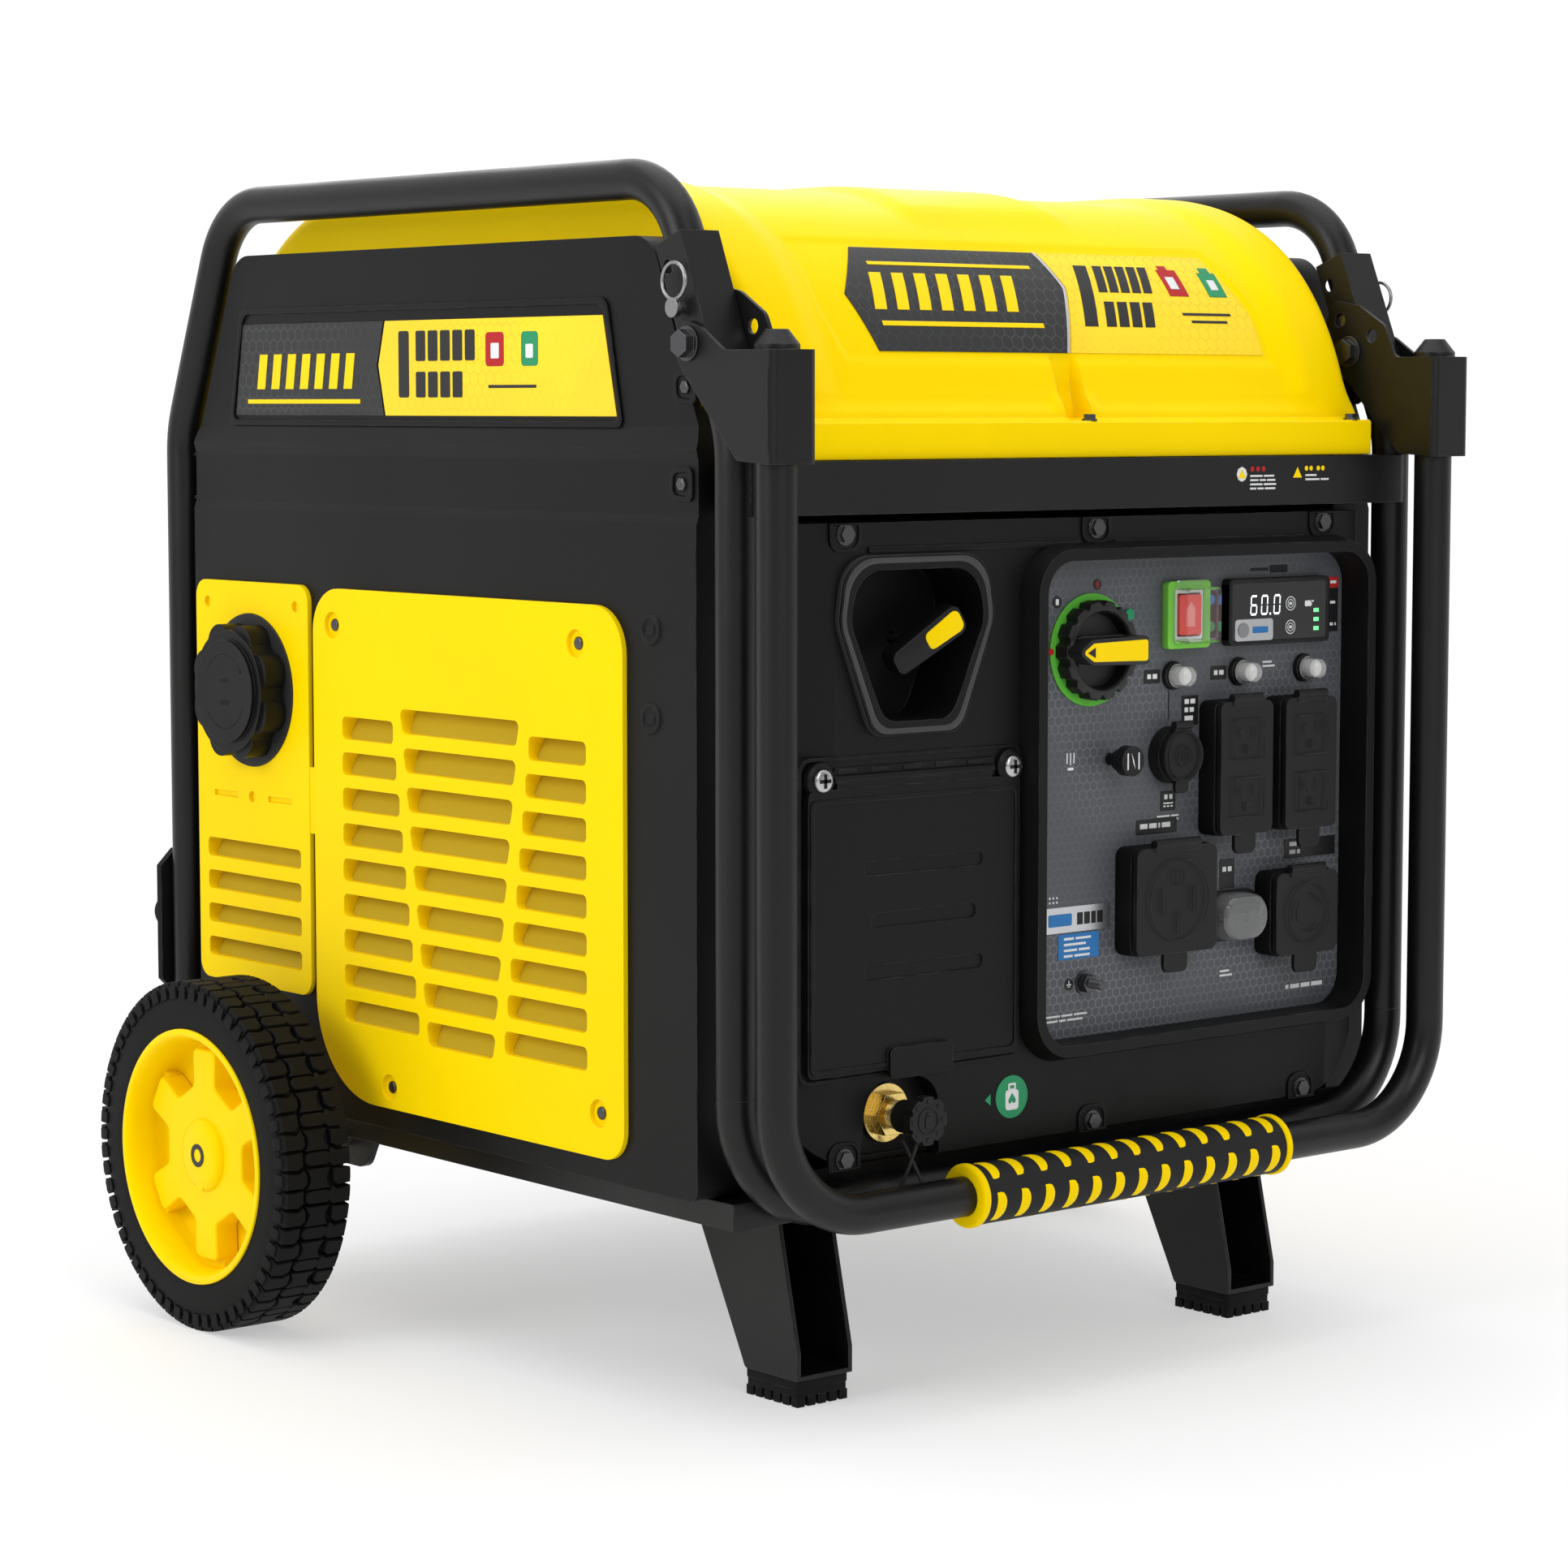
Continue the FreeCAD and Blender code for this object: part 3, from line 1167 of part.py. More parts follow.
def generator_stator():
    """Wound stator core inside the flywheel cup."""
    c = (CRANK_X, CRANK_Z)
    core = rod(62.0, (c[0], 164.0, c[1]), (c[0], 218.0, c[1]))
    teeth = []
    count = 18
    for i in range(count):
        tooth = box(58.0, 96.0, 166.0, 208.0, -6.0, 6.0)
        tooth.rotate(vec(0, 0, 0), Y_AXIS, 360.0 * i / count)
        tooth.translate(vec(c[0], 0, c[1]))
        teeth.append(tooth)
    return fuse([core] + teeth).cut(rod(CRANK_R + 1.0, (c[0], 160.0, c[1]), (c[0], 220.0, c[1])))


def engine_block():
    """Crankcase on its feet with a finned cylinder and rocker cover."""
    x, z = CRANK_X, CRANK_Z
    case = box(x - 95, x + 95, 218.0, 410.0, z - 105, z + 85)
    feet = [box(foot_x, foot_x + 40, 230.0, 400.0, TRAY_Z, z - 100) for foot_x in (x - 110, x + 70)]
    barrel = box(x - 30, x + 60, 270.0, 360.0, z + 80, z + 160)
    fins = [box(x - 45, x + 75, 255.0, 375.0, z + 90 + 11 * i, z + 94 + 11 * i) for i in range(6)]
    bore = rod(CRANK_R + RUN_CLEAR, (x, 200.0, z), (x, 420.0, z))
    return fuse([case, barrel] + feet + fins).cut(bore)


def muffler():
    body = box(60.0, 190.0, 440.0, 560.0, 330.0, 470.0)
    body = body.makeFillet(16.0, body.Edges)
    tail = rod(20.0, (120.0, 555.0, 400.0), (120.0, 668.0, 400.0))
    guard = rod(40.0, (120.0, 650.0, 400.0), (120.0, 672.0, 400.0))
    return fuse([body, tail, guard])


def battery():
    case = box(100.0, 240.0, 480.0, 600.0, TRAY_Z, 270.0)
    posts = [rod(7.0, (x, 510.0, 270.0), (x, 510.0, 282.0)) for x in (125.0, 215.0)]
    return fuse([case] + posts)


def inverter_module():
    body = box(140.0, 235.0, 110.0, 330.0, TRAY_Z, 440.0)
    fins = [box(235.0, 255.0, 118.0 + 12 * i, 121.0 + 12 * i, TRAY_Z, 440.0) for i in range(17)]
    return fuse([body] + fins)


# ---- assembly ---------------------------------------------------------------------------
def build():
    left_panel = left_side_panel(has_filler=True)
    right_panel = mirror_x(left_side_panel(has_filler=False))
    vent = left_vent_panel()
    leg = support_leg()
    pad = foot_pad()
    bumper = rear_bumper()
    tyre = tyre_left()
    rim = rim_left()
    nodes = {
        "left_roll_bar": roll_bar(-1),
        "right_roll_bar": roll_bar(1),
        "frame_cross_members": frame_cross_members(),
        "base_tray": base_tray(),
        "wheel_axle": wheel_axle(),
        "support_legs": group(both_sides(leg)),
        "foot_pads": group(both_sides(pad)),
        "hinge_clamshells": group([hinge_clamshell(-1), hinge_clamshell(1)]),
        "left_side_panel": left_panel,
        "right_side_panel": right_panel,
        "vent_panels": group(both_sides(vent)),
        "fuel_cap_panel": fuel_cap_panel(),
        "front_fascia": front_fascia(),
        "rear_cover": rear_cover(),
        "top_cover": top_cover(),
        "control_bezel": control_bezel(),
        "control_plate": control_plate(),
        "recoil_bezel": recoil_bezel(),
        "case_bolts": case_bolts(),
        "outlet_bases": outlet_bases(),
        "panel_fittings": panel_fittings(),
        "breaker_boots": breaker_boots(),
        "display_module": display_module(),
        "lpg_inlet": lpg_inlet(),
        "lpg_tether": lpg_tether(),
        "engine_block": engine_block(),
        "generator_stator": generator_stator(),
        "muffler": muffler(),
        "fuel_tank": fuel_tank(),
        "battery": battery(),
        "inverter_module": inverter_module(),
        "rear_bumpers": group(both_sides(bumper)),
        "crank_rotor": crank_rotor(),
        "handle_tube": handle_tube(),
        "handle_grip": handle_grip(),
        "handle_brackets": group([handle_bracket(-1), handle_bracket(1), handle_plug(-1), handle_plug(1)]),
        "left_lock_pin": lock_pin(-1),
        "right_lock_pin": lock_pin(1),
        "left_tyre": tyre,
        "right_tyre": mirror_x(tyre),
        "left_rim": rim,
        "right_rim": mirror_x(rim),
        "fuel_cap": fuel_cap(),
        "engine_dial": engine_dial(),
        "rocker_switch": rocker_switch(),
        "rocker_cover": rocker_cover(),
        "choke_knob": choke_knob(),
        "recoil_grip": recoil_grip(),
        "service_door": service_door(),
        "left_outlet_cover": flip_cover((DUPLEX_X[0], DUPLEX_Z), (50.0, 89.6), 20.0),
        "right_outlet_cover": flip_cover((DUPLEX_X[1], DUPLEX_Z), (50.0, 89.6), 20.0),
        "large_outlet_cover": flip_cover(LARGE_OUTLET, (75.0, 71.0), 22.0),
        "locking_outlet_cover": flip_cover(LOCKING_OUTLET, (60.5, 56.4), 22.0),
        "socket_cover": round_cover(),
        "main_breaker_lever": main_breaker_lever(),
        "lpg_cap": lpg_cap(),
        "display_button": display_button(),
    }
    for number, x in enumerate(BREAKER_X, start=1):
        nodes[f"breaker_button_{number}"] = breaker_button(x)
    return nodes


def export(nodes):
    os.makedirs("parts", exist_ok=True)
    for name, shape in nodes.items():
        placed = shape.copy()
        placed.translate(vec(0, -ORIGIN_Y, 0))
        placed.exportStep(f"parts/{name}.step")
        state = "ok" if placed.isValid() else "NOT VALID"
        volume = placed.Volume / 1000
        print(f"{name:22s} solids {len(placed.Solids):2d} volume {volume:9.1f} cm3 {state}")


export(build())
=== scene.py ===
import json
import math
from math import cos, pi, radians, sin

import bmesh
import bpy
from mathutils import Matrix, Vector


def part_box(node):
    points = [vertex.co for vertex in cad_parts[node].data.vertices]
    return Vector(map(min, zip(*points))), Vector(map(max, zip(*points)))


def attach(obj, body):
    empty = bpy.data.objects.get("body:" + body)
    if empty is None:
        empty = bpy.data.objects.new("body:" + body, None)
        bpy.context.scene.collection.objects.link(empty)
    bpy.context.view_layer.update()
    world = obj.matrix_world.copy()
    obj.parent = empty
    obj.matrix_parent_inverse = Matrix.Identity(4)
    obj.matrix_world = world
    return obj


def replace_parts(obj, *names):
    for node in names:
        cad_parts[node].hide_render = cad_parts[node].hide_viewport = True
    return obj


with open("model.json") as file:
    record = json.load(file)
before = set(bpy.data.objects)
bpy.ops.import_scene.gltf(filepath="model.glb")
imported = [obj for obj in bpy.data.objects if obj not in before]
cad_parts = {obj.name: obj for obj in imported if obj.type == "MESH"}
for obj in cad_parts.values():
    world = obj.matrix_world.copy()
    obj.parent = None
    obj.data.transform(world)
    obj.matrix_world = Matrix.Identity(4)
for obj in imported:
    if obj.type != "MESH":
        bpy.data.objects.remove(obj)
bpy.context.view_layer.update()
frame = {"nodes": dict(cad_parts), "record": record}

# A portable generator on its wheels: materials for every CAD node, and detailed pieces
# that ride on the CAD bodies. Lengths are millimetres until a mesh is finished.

MM = 0.001


class Box:
    """A CAD node's box at rest, in millimetres."""

    def __init__(self, node):
        low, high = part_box(node)
        self.x0, self.y0, self.z0 = (v / MM for v in low)
        self.x1, self.y1, self.z1 = (v / MM for v in high)
        self.cx = (self.x0 + self.x1) / 2
        self.cy = (self.y0 + self.y1) / 2
        self.cz = (self.z0 + self.z1) / 2


def smooth(value, low, high):
    """0 below low, 1 above high, and an S curve in between."""
    t = min(1.0, max(0.0, (value - low) / (high - low)))
    return t * t * (3 - 2 * t)


# ---- materials ----------------------------------------------------------------------
class Finish:
    """A node material under construction."""

    def __init__(self, name):
        self.material = bpy.data.materials.new(name)
        self.material.use_nodes = True
        self.tree = self.material.node_tree
        self.shader = self.tree.nodes["Principled BSDF"]
        self.place = self.add("ShaderNodeTexCoord").outputs["Object"]

    def add(self, kind, **settings):
        node = self.tree.nodes.new(kind)
        for key, value in settings.items():
            setattr(node, key, value)
        return node

    def feed(self, socket, value):
        if isinstance(value, bpy.types.NodeSocket):
            self.tree.links.new(value, socket)
        else:
            socket.default_value = value

    def math(self, operation, a, b=0.0, c=0.0):
        node = self.add("ShaderNodeMath", operation=operation)
        for socket, value in zip(node.inputs, (a, b, c)):
            self.feed(socket, value)
        return node.outputs[0]

    def vector(self, operation, a, b=(0, 0, 0)):
        node = self.add("ShaderNodeVectorMath", operation=operation)
        self.feed(node.inputs[0], a)
        self.feed(node.inputs[1], b)
        return node.outputs["Value" if operation == "DOT_PRODUCT" else "Vector"]

    def noise(self, scale, detail=2.0, stretch=(1, 1, 1)):
        node = self.add("ShaderNodeTexNoise")
        self.feed(node.inputs["Vector"], self.vector("MULTIPLY", self.place, stretch))
        node.inputs["Scale"].default_value = scale
        node.inputs["Detail"].default_value = detail
        return node.outputs["Fac"]

    def band(self, value, low, high, to_low=0.0, to_high=1.0):
        node = self.add("ShaderNodeMapRange", interpolation_type="SMOOTHSTEP")
        for name, number in (("From Min", low), ("From Max", high), ("To Min", to_low), ("To Max", to_high)):
            node.inputs[name].default_value = number
        self.feed(node.inputs["Value"], value)
        return node.outputs["Result"]

    def mix(self, factor, a, b):
        node = self.add("ShaderNodeMix", data_type="RGBA")
        self.feed(node.inputs["Factor"], factor)
        for name, value in (("A", a), ("B", b)):
            socket = next(s for s in node.inputs if s.name == name and s.type == "RGBA")
            self.feed(socket, value)
        return next(s for s in node.outputs if s.type == "RGBA")

    def set(self, **values):
        for name, value in values.items():
            self.shader.inputs[name.replace("_", " ")].default_value = value
        return self

    def surface(self, colour, roughness, grain, depth, edge_light=0.3, edge_mm=0.8, mottle=0.06):
        """Colour, roughness and normal: fine grain, soft edges, edges lightened by rubbed wear and by a
        painted highlight, and faint mottling.
        """
        bevel = self.add("ShaderNodeBevel", samples=4)
        bevel.inputs["Radius"].default_value = edge_mm * MM
        flat = self.add("ShaderNodeNewGeometry").outputs["Normal"]
        straight = self.vector("DOT_PRODUCT", bevel.outputs["Normal"], flat)
        edge = self.band(straight, 0.995, 0.80)
        # Patchy mask of the edges that get a lighter colour: rubbed wear and a painted highlight.
        wear_and_highlight = self.math("MULTIPLY", edge, self.band(self.noise(60, 4), 0.40, 0.62))
        broad = self.noise(9, 4)
        fine = self.noise(grain, 3)
        shade = self.band(broad, 0.3, 0.7, 1 - mottle, 1 + mottle)
        tinted = self.vector("SCALE", colour)
        self.feed(tinted.node.inputs["Scale"], shade)
        # Lighter edge colour: partly rubbed wear, partly a painted highlight.
        light = tuple(min(1.0, c + edge_light * (0.35 - 0.3 * c)) for c in colour)
        mixed = self.mix(self.math("MULTIPLY", wear_and_highlight, 0.55), tinted, (*light, 1))
        self.feed(self.shader.inputs["Base Color"], mixed)
        worn = self.math("MULTIPLY", edge, -0.10)
        patchy = self.band(broad, 0.25, 0.75, roughness - 0.05, roughness + 0.05)
        speckled = self.math("MULTIPLY_ADD", fine, 0.08, self.math("ADD", patchy, worn))
        self.feed(self.shader.inputs["Roughness"], speckled)
        bump = self.add("ShaderNodeBump")
        bump.inputs["Distance"].default_value = depth * MM
        self.feed(bump.inputs["Height"], fine)
        self.feed(bump.inputs["Normal"], bevel.outputs["Normal"])
        self.feed(self.shader.inputs["Normal"], bump.outputs["Normal"])
        return mixed

    def hexagons(self, across, wall, axes=("X", "Z")):
        """1 on the walls of a honeycomb laid over two axes, 0 inside its cells."""
        split = self.add("ShaderNodeSeparateXYZ")
        self.feed(split.inputs[0], self.place)
        join = self.add("ShaderNodeCombineXYZ")
        far_off = 100.0
        for socket, axis in zip(join.inputs, axes):
            cells = self.math("MULTIPLY_ADD", split.outputs[axis], 1 / (across * MM), far_off)
            self.feed(socket, cells)
        pitch = (1.0, math.sqrt(3), 1.0)
        half = tuple(p / 2 for p in pitch)
        near = self.vector("SUBTRACT", self.vector("MODULO", join.outputs[0], pitch), half)
        moved = self.vector("MODULO", self.vector("SUBTRACT", join.outputs[0], (half[0], half[1], 0)), pitch)
        other = self.vector("SUBTRACT", moved, half)
        distance = []
        for point in (near, other):
            flat = self.vector("MULTIPLY", self.vector("ABSOLUTE", point), (1, 1, 0))
            slant = self.vector("DOT_PRODUCT", flat, (0.5, math.sqrt(3) / 2, 0))
            upright = self.vector("DOT_PRODUCT", flat, (1, 0, 0))
            distance.append(self.math("MAXIMUM", slant, upright))
        nearest = self.math("MINIMUM", *distance)
        return self.band(nearest, 0.5 - wall, 0.5 - wall * 0.35)


def plastic(name, colour, roughness=0.5, grain=1400, depth=0.05, level=0.4, **more):
    """Moulded plastic; a strongly coloured one tints what it reflects, as seen through a white tent."""
    f = Finish(name)
    f.surface(colour, roughness, grain, depth, **more)
    brightest = max(colour)
    if brightest > 0.3:
        f.set(Specular_Tint=(*(0.06 + 0.94 * c / brightest for c in colour), 1))
    return f.set(Specular_IOR_Level=level).material


def coated_steel(name, colour, roughness=0.34):
    """Powder coat: slight orange peel over a fine sparkle of roughness."""
    f = Finish(name)
    f.surface(colour, roughness, 520, 0.10, edge_light=0.25, edge_mm=1.0)
    return f.set(Specular_IOR_Level=0.30).material


def metal(name, colour, roughness=0.25, brush=(1, 1, 1), grain=700):
    f = Finish(name)
    f.surface(colour, roughness, grain, 0.02, edge_light=0.6, edge_mm=0.5, mottle=0.1)
    scratches = f.noise(grain, 5, brush)
    f.feed(f.shader.inputs["Roughness"], f.band(scratches, 0.3, 0.7, roughness - 0.06, roughness + 0.10))
    return f.set(Metallic=1.0).material


def clear(name, colour, roughness=0.06, ior=1.49, through=1.0):
    """Clear moulded plastic with faint flow marks."""
    f = Finish(name)
    f.shader.inputs["Base Color"].default_value = (*colour, 1)
    f.feed(f.shader.inputs["Roughness"], f.band(f.noise(60, 3), 0.3, 0.7, roughness, roughness + 0.08))
    bump = f.add("ShaderNodeBump")
    bump.inputs["Distance"].default_value = 0.02 * MM
    f.feed(bump.inputs["Height"], f.noise(220, 2))
    f.feed(f.shader.inputs["Normal"], bump.outputs["Normal"])
    return f.set(Transmission_Weight=through, IOR=ior, Coat_Weight=0.7, Coat_Roughness=0.05,
                 Coat_IOR=1.5).material


def glowing(name, colour, strength):
    f = Finish(name)
    f.surface(colour, 0.4, 900, 0.01)
    return f.set(Emission_Color=(*colour, 1), Emission_Strength=strength).material


def honeycomb(name, colour, line, across, wall, roughness=0.42, axes=("X", "Z")):
    """Printed film with a honeycomb of thin lines that fades in and out."""
    f = Finish(name)
    base = f.surface(colour, roughness, 900, 0.02)
    cells = f.hexagons(across, wall, axes)
    fade = f.band(f.noise(7, 2), 0.38, 0.62, 0.25, 1.0)
    printed = f.mix(f.math("MULTIPLY", cells, fade), base, (*line, 1))
    f.feed(f.shader.inputs["Base Color"], printed)
    return f.material


YELLOW = (0.95, 0.665, 0.0)
BLACK = (0.0040, 0.0040, 0.0040)

slot_material = {
    "frame_black": coated_steel("powder_coat", (0.0040, 0.0040, 0.0040)),
    "panel_black": plastic("moulded_black", BLACK, 0.40, 1100, 0.09, 0.17),
    "panel_yellow": plastic("moulded_yellow", YELLOW, 0.42, 1300, 0.03, 0.09, mottle=0.02),
    "cover_yellow": plastic("cover_yellow", YELLOW, 0.38, 1300, 0.03, 0.08, mottle=0.02, edge_mm=1.5),
    "rim_yellow": plastic("rim_yellow", YELLOW, 0.36, 1200, 0.03, 0.12, mottle=0.03),
    "tyre_rubber": plastic("tyre_rubber", (0.0045, 0.0045, 0.0045), 0.58, 1500, 0.10, 0.13, edge_light=0.04),
    "pad_rubber": plastic("pad_rubber", (0.0042, 0.0042, 0.0042), 0.62, 1200, 0.12, 0.14),
    "grip_rubber": plastic("grip_rubber", (0.0056, 0.0056, 0.0058), 0.60, 1600, 0.10, 0.3),
    "plate_slate": honeycomb("panel_film", (0.066, 0.071, 0.080), (0.155, 0.165, 0.185), 6.4, 0.075),
    "control_black": plastic("control_black", (0.0062, 0.0062, 0.0063), 0.42, 1300, 0.05, 0.25),
    "dial_black": plastic("dial_black", (0.0066, 0.0064, 0.006), 0.40, 1300, 0.06, 0.42),
    "switch_red": plastic("switch_red", (0.80, 0.10, 0.085), 0.22, 900, 0.01, 0.6),
    "clear_guard": clear("clear_guard", (0.98, 0.985, 0.985), 0.02, 1.12),
    "button_white": plastic("button_white", (0.80, 0.80, 0.78), 0.35, 900, 0.02, 0.5),
    "button_grey": plastic("button_grey", (0.22, 0.225, 0.235), 0.4, 900, 0.02, 0.5),
    "brass": metal("brass", (0.78, 0.58, 0.20), 0.20),
    "bolt_steel": metal("dark_bolt_steel", (0.10, 0.10, 0.105), 0.36, (1, 1, 8)),
    "pin_steel": metal("pin_steel", (0.30, 0.30, 0.31), 0.30, (8, 1, 1)),
    "axle_steel": metal("axle_steel", (0.34, 0.34, 0.35), 0.30, (1, 20, 20)),
    "engine_alloy": metal("cast_alloy", (0.42, 0.42, 0.43), 0.48, (1, 1, 1), 260),
    "rotor_iron": metal("machined_iron", (0.22, 0.22, 0.23), 0.38, (20, 1, 20)),
    "stator_copper": metal("varnished_copper", (0.45, 0.20, 0.09), 0.36, (1, 40, 1)),
    "muffler_steel": metal("heated_steel", (0.30, 0.28, 0.26), 0.42, (1, 8, 1)),
    "tank_plastic": plastic("tank_plastic", (0.012, 0.012, 0.012), 0.6, 400, 0.15),
    "battery_plastic": plastic("battery_plastic", (0.02, 0.02, 0.024), 0.5, 600, 0.08),
    "inverter_alloy": metal("fin_alloy", (0.40, 0.41, 0.42), 0.36, (30, 1, 1)),
    "tether_plastic": plastic("tether_plastic", (0.010, 0.010, 0.010), 0.5, 1500, 0.03),
}
green_ring = plastic("green_ring", (0.10, 0.42, 0.045), 0.40, 900, 0.02)
green_frame = plastic("green_frame", (0.19, 0.56, 0.07), 0.30, 900, 0.02, 0.5)
green_print = plastic("green_print", (0.006, 0.26, 0.10), 0.42, 900, 0.01)
red_print = plastic("red_print", (0.42, 0.02, 0.022), 0.42, 900, 0.01)
blue_print = plastic("blue_print", (0.035, 0.17, 0.42), 0.42, 900, 0.01)
white_print = plastic("white_print", (0.72, 0.73, 0.73), 0.42, 900, 0.01)
black_print = plastic("black_print", (0.008, 0.008, 0.008), 0.36, 900, 0.01)
yellow_print = plastic("yellow_print", YELLOW, 0.35, 900, 0.01, mottle=0.01)
# Darkened yellow for the blades behind the vent slots: painted shade inside the slots.
painted_shade_blade_yellow = plastic("painted_shade_blade_yellow", (0.50, 0.36, 0.02), 0.5, 1300, 0.03, 0.10, mottle=0.02)
yellow_film = honeycomb("yellow_film", YELLOW, (0.80, 0.50, 0.002), 9.0, 0.05)
badge_film = honeycomb("badge_film", (0.008, 0.0085, 0.009), (0.045, 0.047, 0.05), 9.0, 0.06)
side_badge_film = honeycomb("side_badge_film", (0.008, 0.0085, 0.009), (0.042, 0.044, 0.046), 9.0, 0.06,
                            axes=("Y", "Z"))
side_yellow_film = honeycomb("side_yellow_film", YELLOW, (0.80, 0.50, 0.002), 9.0, 0.05, axes=("Y", "Z"))
silver_film = metal("silver_film", (0.62, 0.63, 0.65), 0.30, (1, 1, 40))
zinc = metal("zinc_screw", (0.50, 0.50, 0.50), 0.26, (1, 1, 1))
screen_glass = plastic("screen_glass", (0.004, 0.004, 0.005), 0.10, 400, 0.004, 0.6)
digit_glow = glowing("digit_glow", (0.80, 0.85, 0.88), 1.4)
led_glow = glowing("led_glow", (0.12, 0.80, 0.20), 1.6)
led_dark = plastic("led_dark", (0.02, 0.025, 0.02), 0.3)
lip_grey = plastic("lip_grey", (0.035, 0.036, 0.037), 0.42, 1200, 0.05, 0.4)
# Near-black for screw recesses, pocket floors, hinge slots, bolt wells and embossed cover marks: painted
# shade of hollows and relief.
painted_shade_black = plastic("painted_shade_black", (0.004, 0.004, 0.0045), 0.55, 900, 0.05, 0.25)

for part in frame["record"]["subparts"]:
    mesh = frame["nodes"][part["node"]].data
    mesh.materials.clear()
    mesh.materials.append(slot_material[part["material_slot"]])


# ---- mesh helpers ---------------------------------------------------------------------
def rounded(corners, steps=6):
    """Closed line through (a, b, radius) corners, each rounded to its radius."""
    line = []
    for i, (a, b, radius) in enumerate(corners):
        corner = Vector((a, b))
        if radius == 0:
            line.append(corner)
            continue
        back = (Vector(corners[i - 1][:2]) - corner).normalized()
        on = (Vector(corners[(i + 1) % len(corners)][:2]) - corner).normalized()
        half = back.angle(on) / 2
        centre = corner + (back + on).normalized() * radius / sin(half)
        spoke = corner + back * radius / math.tan(half) - centre
        turn = pi - 2 * half
        if back.x * on.y - back.y * on.x > 0:
            turn = -turn
        for k in range(steps + 1):
            line.append(centre + Matrix.Rotation(turn * k / steps, 2) @ spoke)
    return line


def rectangle(a0, a1, b0, b1, radius=0.0, steps=6):
    return rounded([(a0, b0, radius), (a1, b0, radius), (a1, b1, radius), (a0, b1, radius)], steps)


def circle(a, b, radius, count=32, start=0.0, sweep=2 * pi):
    turns = [start + sweep * k / count for k in range(count)]
    return [Vector((a + radius * cos(t), b + radius * sin(t))) for t in turns]


PLANE = {
    "x": lambda a, b, d: Vector((d, a, b)),
    "y": lambda a, b, d: Vector((a, d, b)),
    "z": lambda a, b, d: Vector((a, b, d)),
}


def bridge(bm, rings, closed=True):
    """Faces between rings of the same number of vertices."""
    for first, second in zip(rings, rings[1:]):
        count = len(first)
        for i in range(count if closed else count - 1):
            j = (i + 1) % count
            bm.faces.new((first[i], first[j], second[j], second[i]))


def prism(bm, outline, axis, d0, d1):
    """Solid of an outline between two planes across an axis."""
    place = PLANE[axis]
    rings = [[bm.verts.new(place(p[0], p[1], d)) for p in outline] for d in (d0, d1)]
    bridge(bm, rings)
    bm.faces.new(rings[0])
    bm.faces.new(rings[1])


def ring_prism(bm, outer, inner, axis, d0, d1):
    """Flat ring between two outlines that have the same number of points."""
    place = PLANE[axis]
    loops = [(outer, d0), (outer, d1), (inner, d1), (inner, d0)]
    rings = [[bm.verts.new(place(p[0], p[1], d)) for p in line] for line, d in loops]
    bridge(bm, rings + [rings[0]])


def spin(bm, profile, centre, axis, count=48, closed=False):
    """Surface of a (distance along the axis, radius) profile turned about the axis."""
    place = PLANE[axis]
    a, b = centre
    rings = []
    for along, radius in profile:
        if radius < 1e-6:
            rings.append([bm.verts.new(place(a, b, along))])
            continue
        rings.append([bm.verts.new(place(p[0], p[1], along)) for p in circle(a, b, radius, count)])
    if closed:
        rings.append(rings[0])
    for first, second in zip(rings, rings[1:]):
        if len(first) == 1 or len(second) == 1:
            tip, rim = (first[0], second) if len(first) == 1 else (second[0], first)
            for i in range(count):
                bm.faces.new((tip, rim[i], rim[(i + 1) % count]))
        else:
            bridge(bm, [first, second])


def tube(bm, points, radius, around=12):
    """Round bar through points, with flat ends."""
    line = [Vector(p) for p in points]
    rings = []
    side = None
    for i, point in enumerate(line):
        heading = (line[min(i + 1, len(line) - 1)] - line[max(i - 1, 0)]).normalized()
        if side is None:
            side = heading.orthogonal().normalized()
        side = (side - heading * side.dot(heading)).normalized()
        up = heading.cross(side)
        turns = [2 * pi * k / around for k in range(around)]
        rings.append([bm.verts.new(point + (side * cos(t) + up * sin(t)) * radius) for t in turns])
    bridge(bm, rings)
    bm.faces.new(rings[0])
    bm.faces.new(rings[-1])


def soften(bm, width, angle=30, segments=2):
    """Bevels every edge that turns by more than the angle."""
    bmesh.ops.recalc_face_normals(bm, faces=bm.faces)
    edges = [e for e in bm.edges if len(e.link_faces) == 2 and e.calc_face_angle() > radians(angle)]
    bmesh.ops.bevel(bm, geom=edges, offset=width, segments=segments, profile=0.6, affect="EDGES",
                    clamp_overlap=True)


def piece(name, bm, material, body="machine", bevel=0.0, angle=32):
    """Finishes a mesh made in millimetres and lets it ride on a body."""
    if bevel:
        soften(bm, bevel)
    bmesh.ops.recalc_face_normals(bm, faces=bm.faces)
    bmesh.ops.scale(bm, vec=(MM, MM, MM), verts=bm.verts)
    mesh = bpy.data.meshes.new(name)
    bm.to_mesh(mesh)
    bm.free()
    mesh.shade_smooth()
    mesh.set_sharp_from_angle(angle=radians(angle))
    mesh.materials.append(material)
    obj = bpy.data.objects.new(name, mesh)
    bpy.context.scene.collection.objects.link(obj)
    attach(obj, body)
    return obj


def plate_piece(name, outlines, axis, d0, d1, material, body="machine", bevel=0.0):
    """One piece made of several flat shapes of the same thickness."""
    bm = bmesh.new()
    for outline in outlines:
        prism(bm, outline, axis, d0, d1)
    return piece(name, bm, material, body, bevel)


# ---- top cover ------------------------------------------------------------------------
lid = Box("top_cover")
LEDGE_UP = 23.5           # height of the ledge's front face
LEDGE_IN = 14.0
SLOPE_STEPS = 90
BAND_IN = (225.0, 197.0)  # where the raised end bands drop to the middle
BAND_UP = 5.0


def bezier(p0, p1, p2, p3, t):
    s = 1 - t
    return p0 * s ** 3 + p1 * 3 * s * s * t + p2 * 3 * s * t * t + p3 * t ** 3


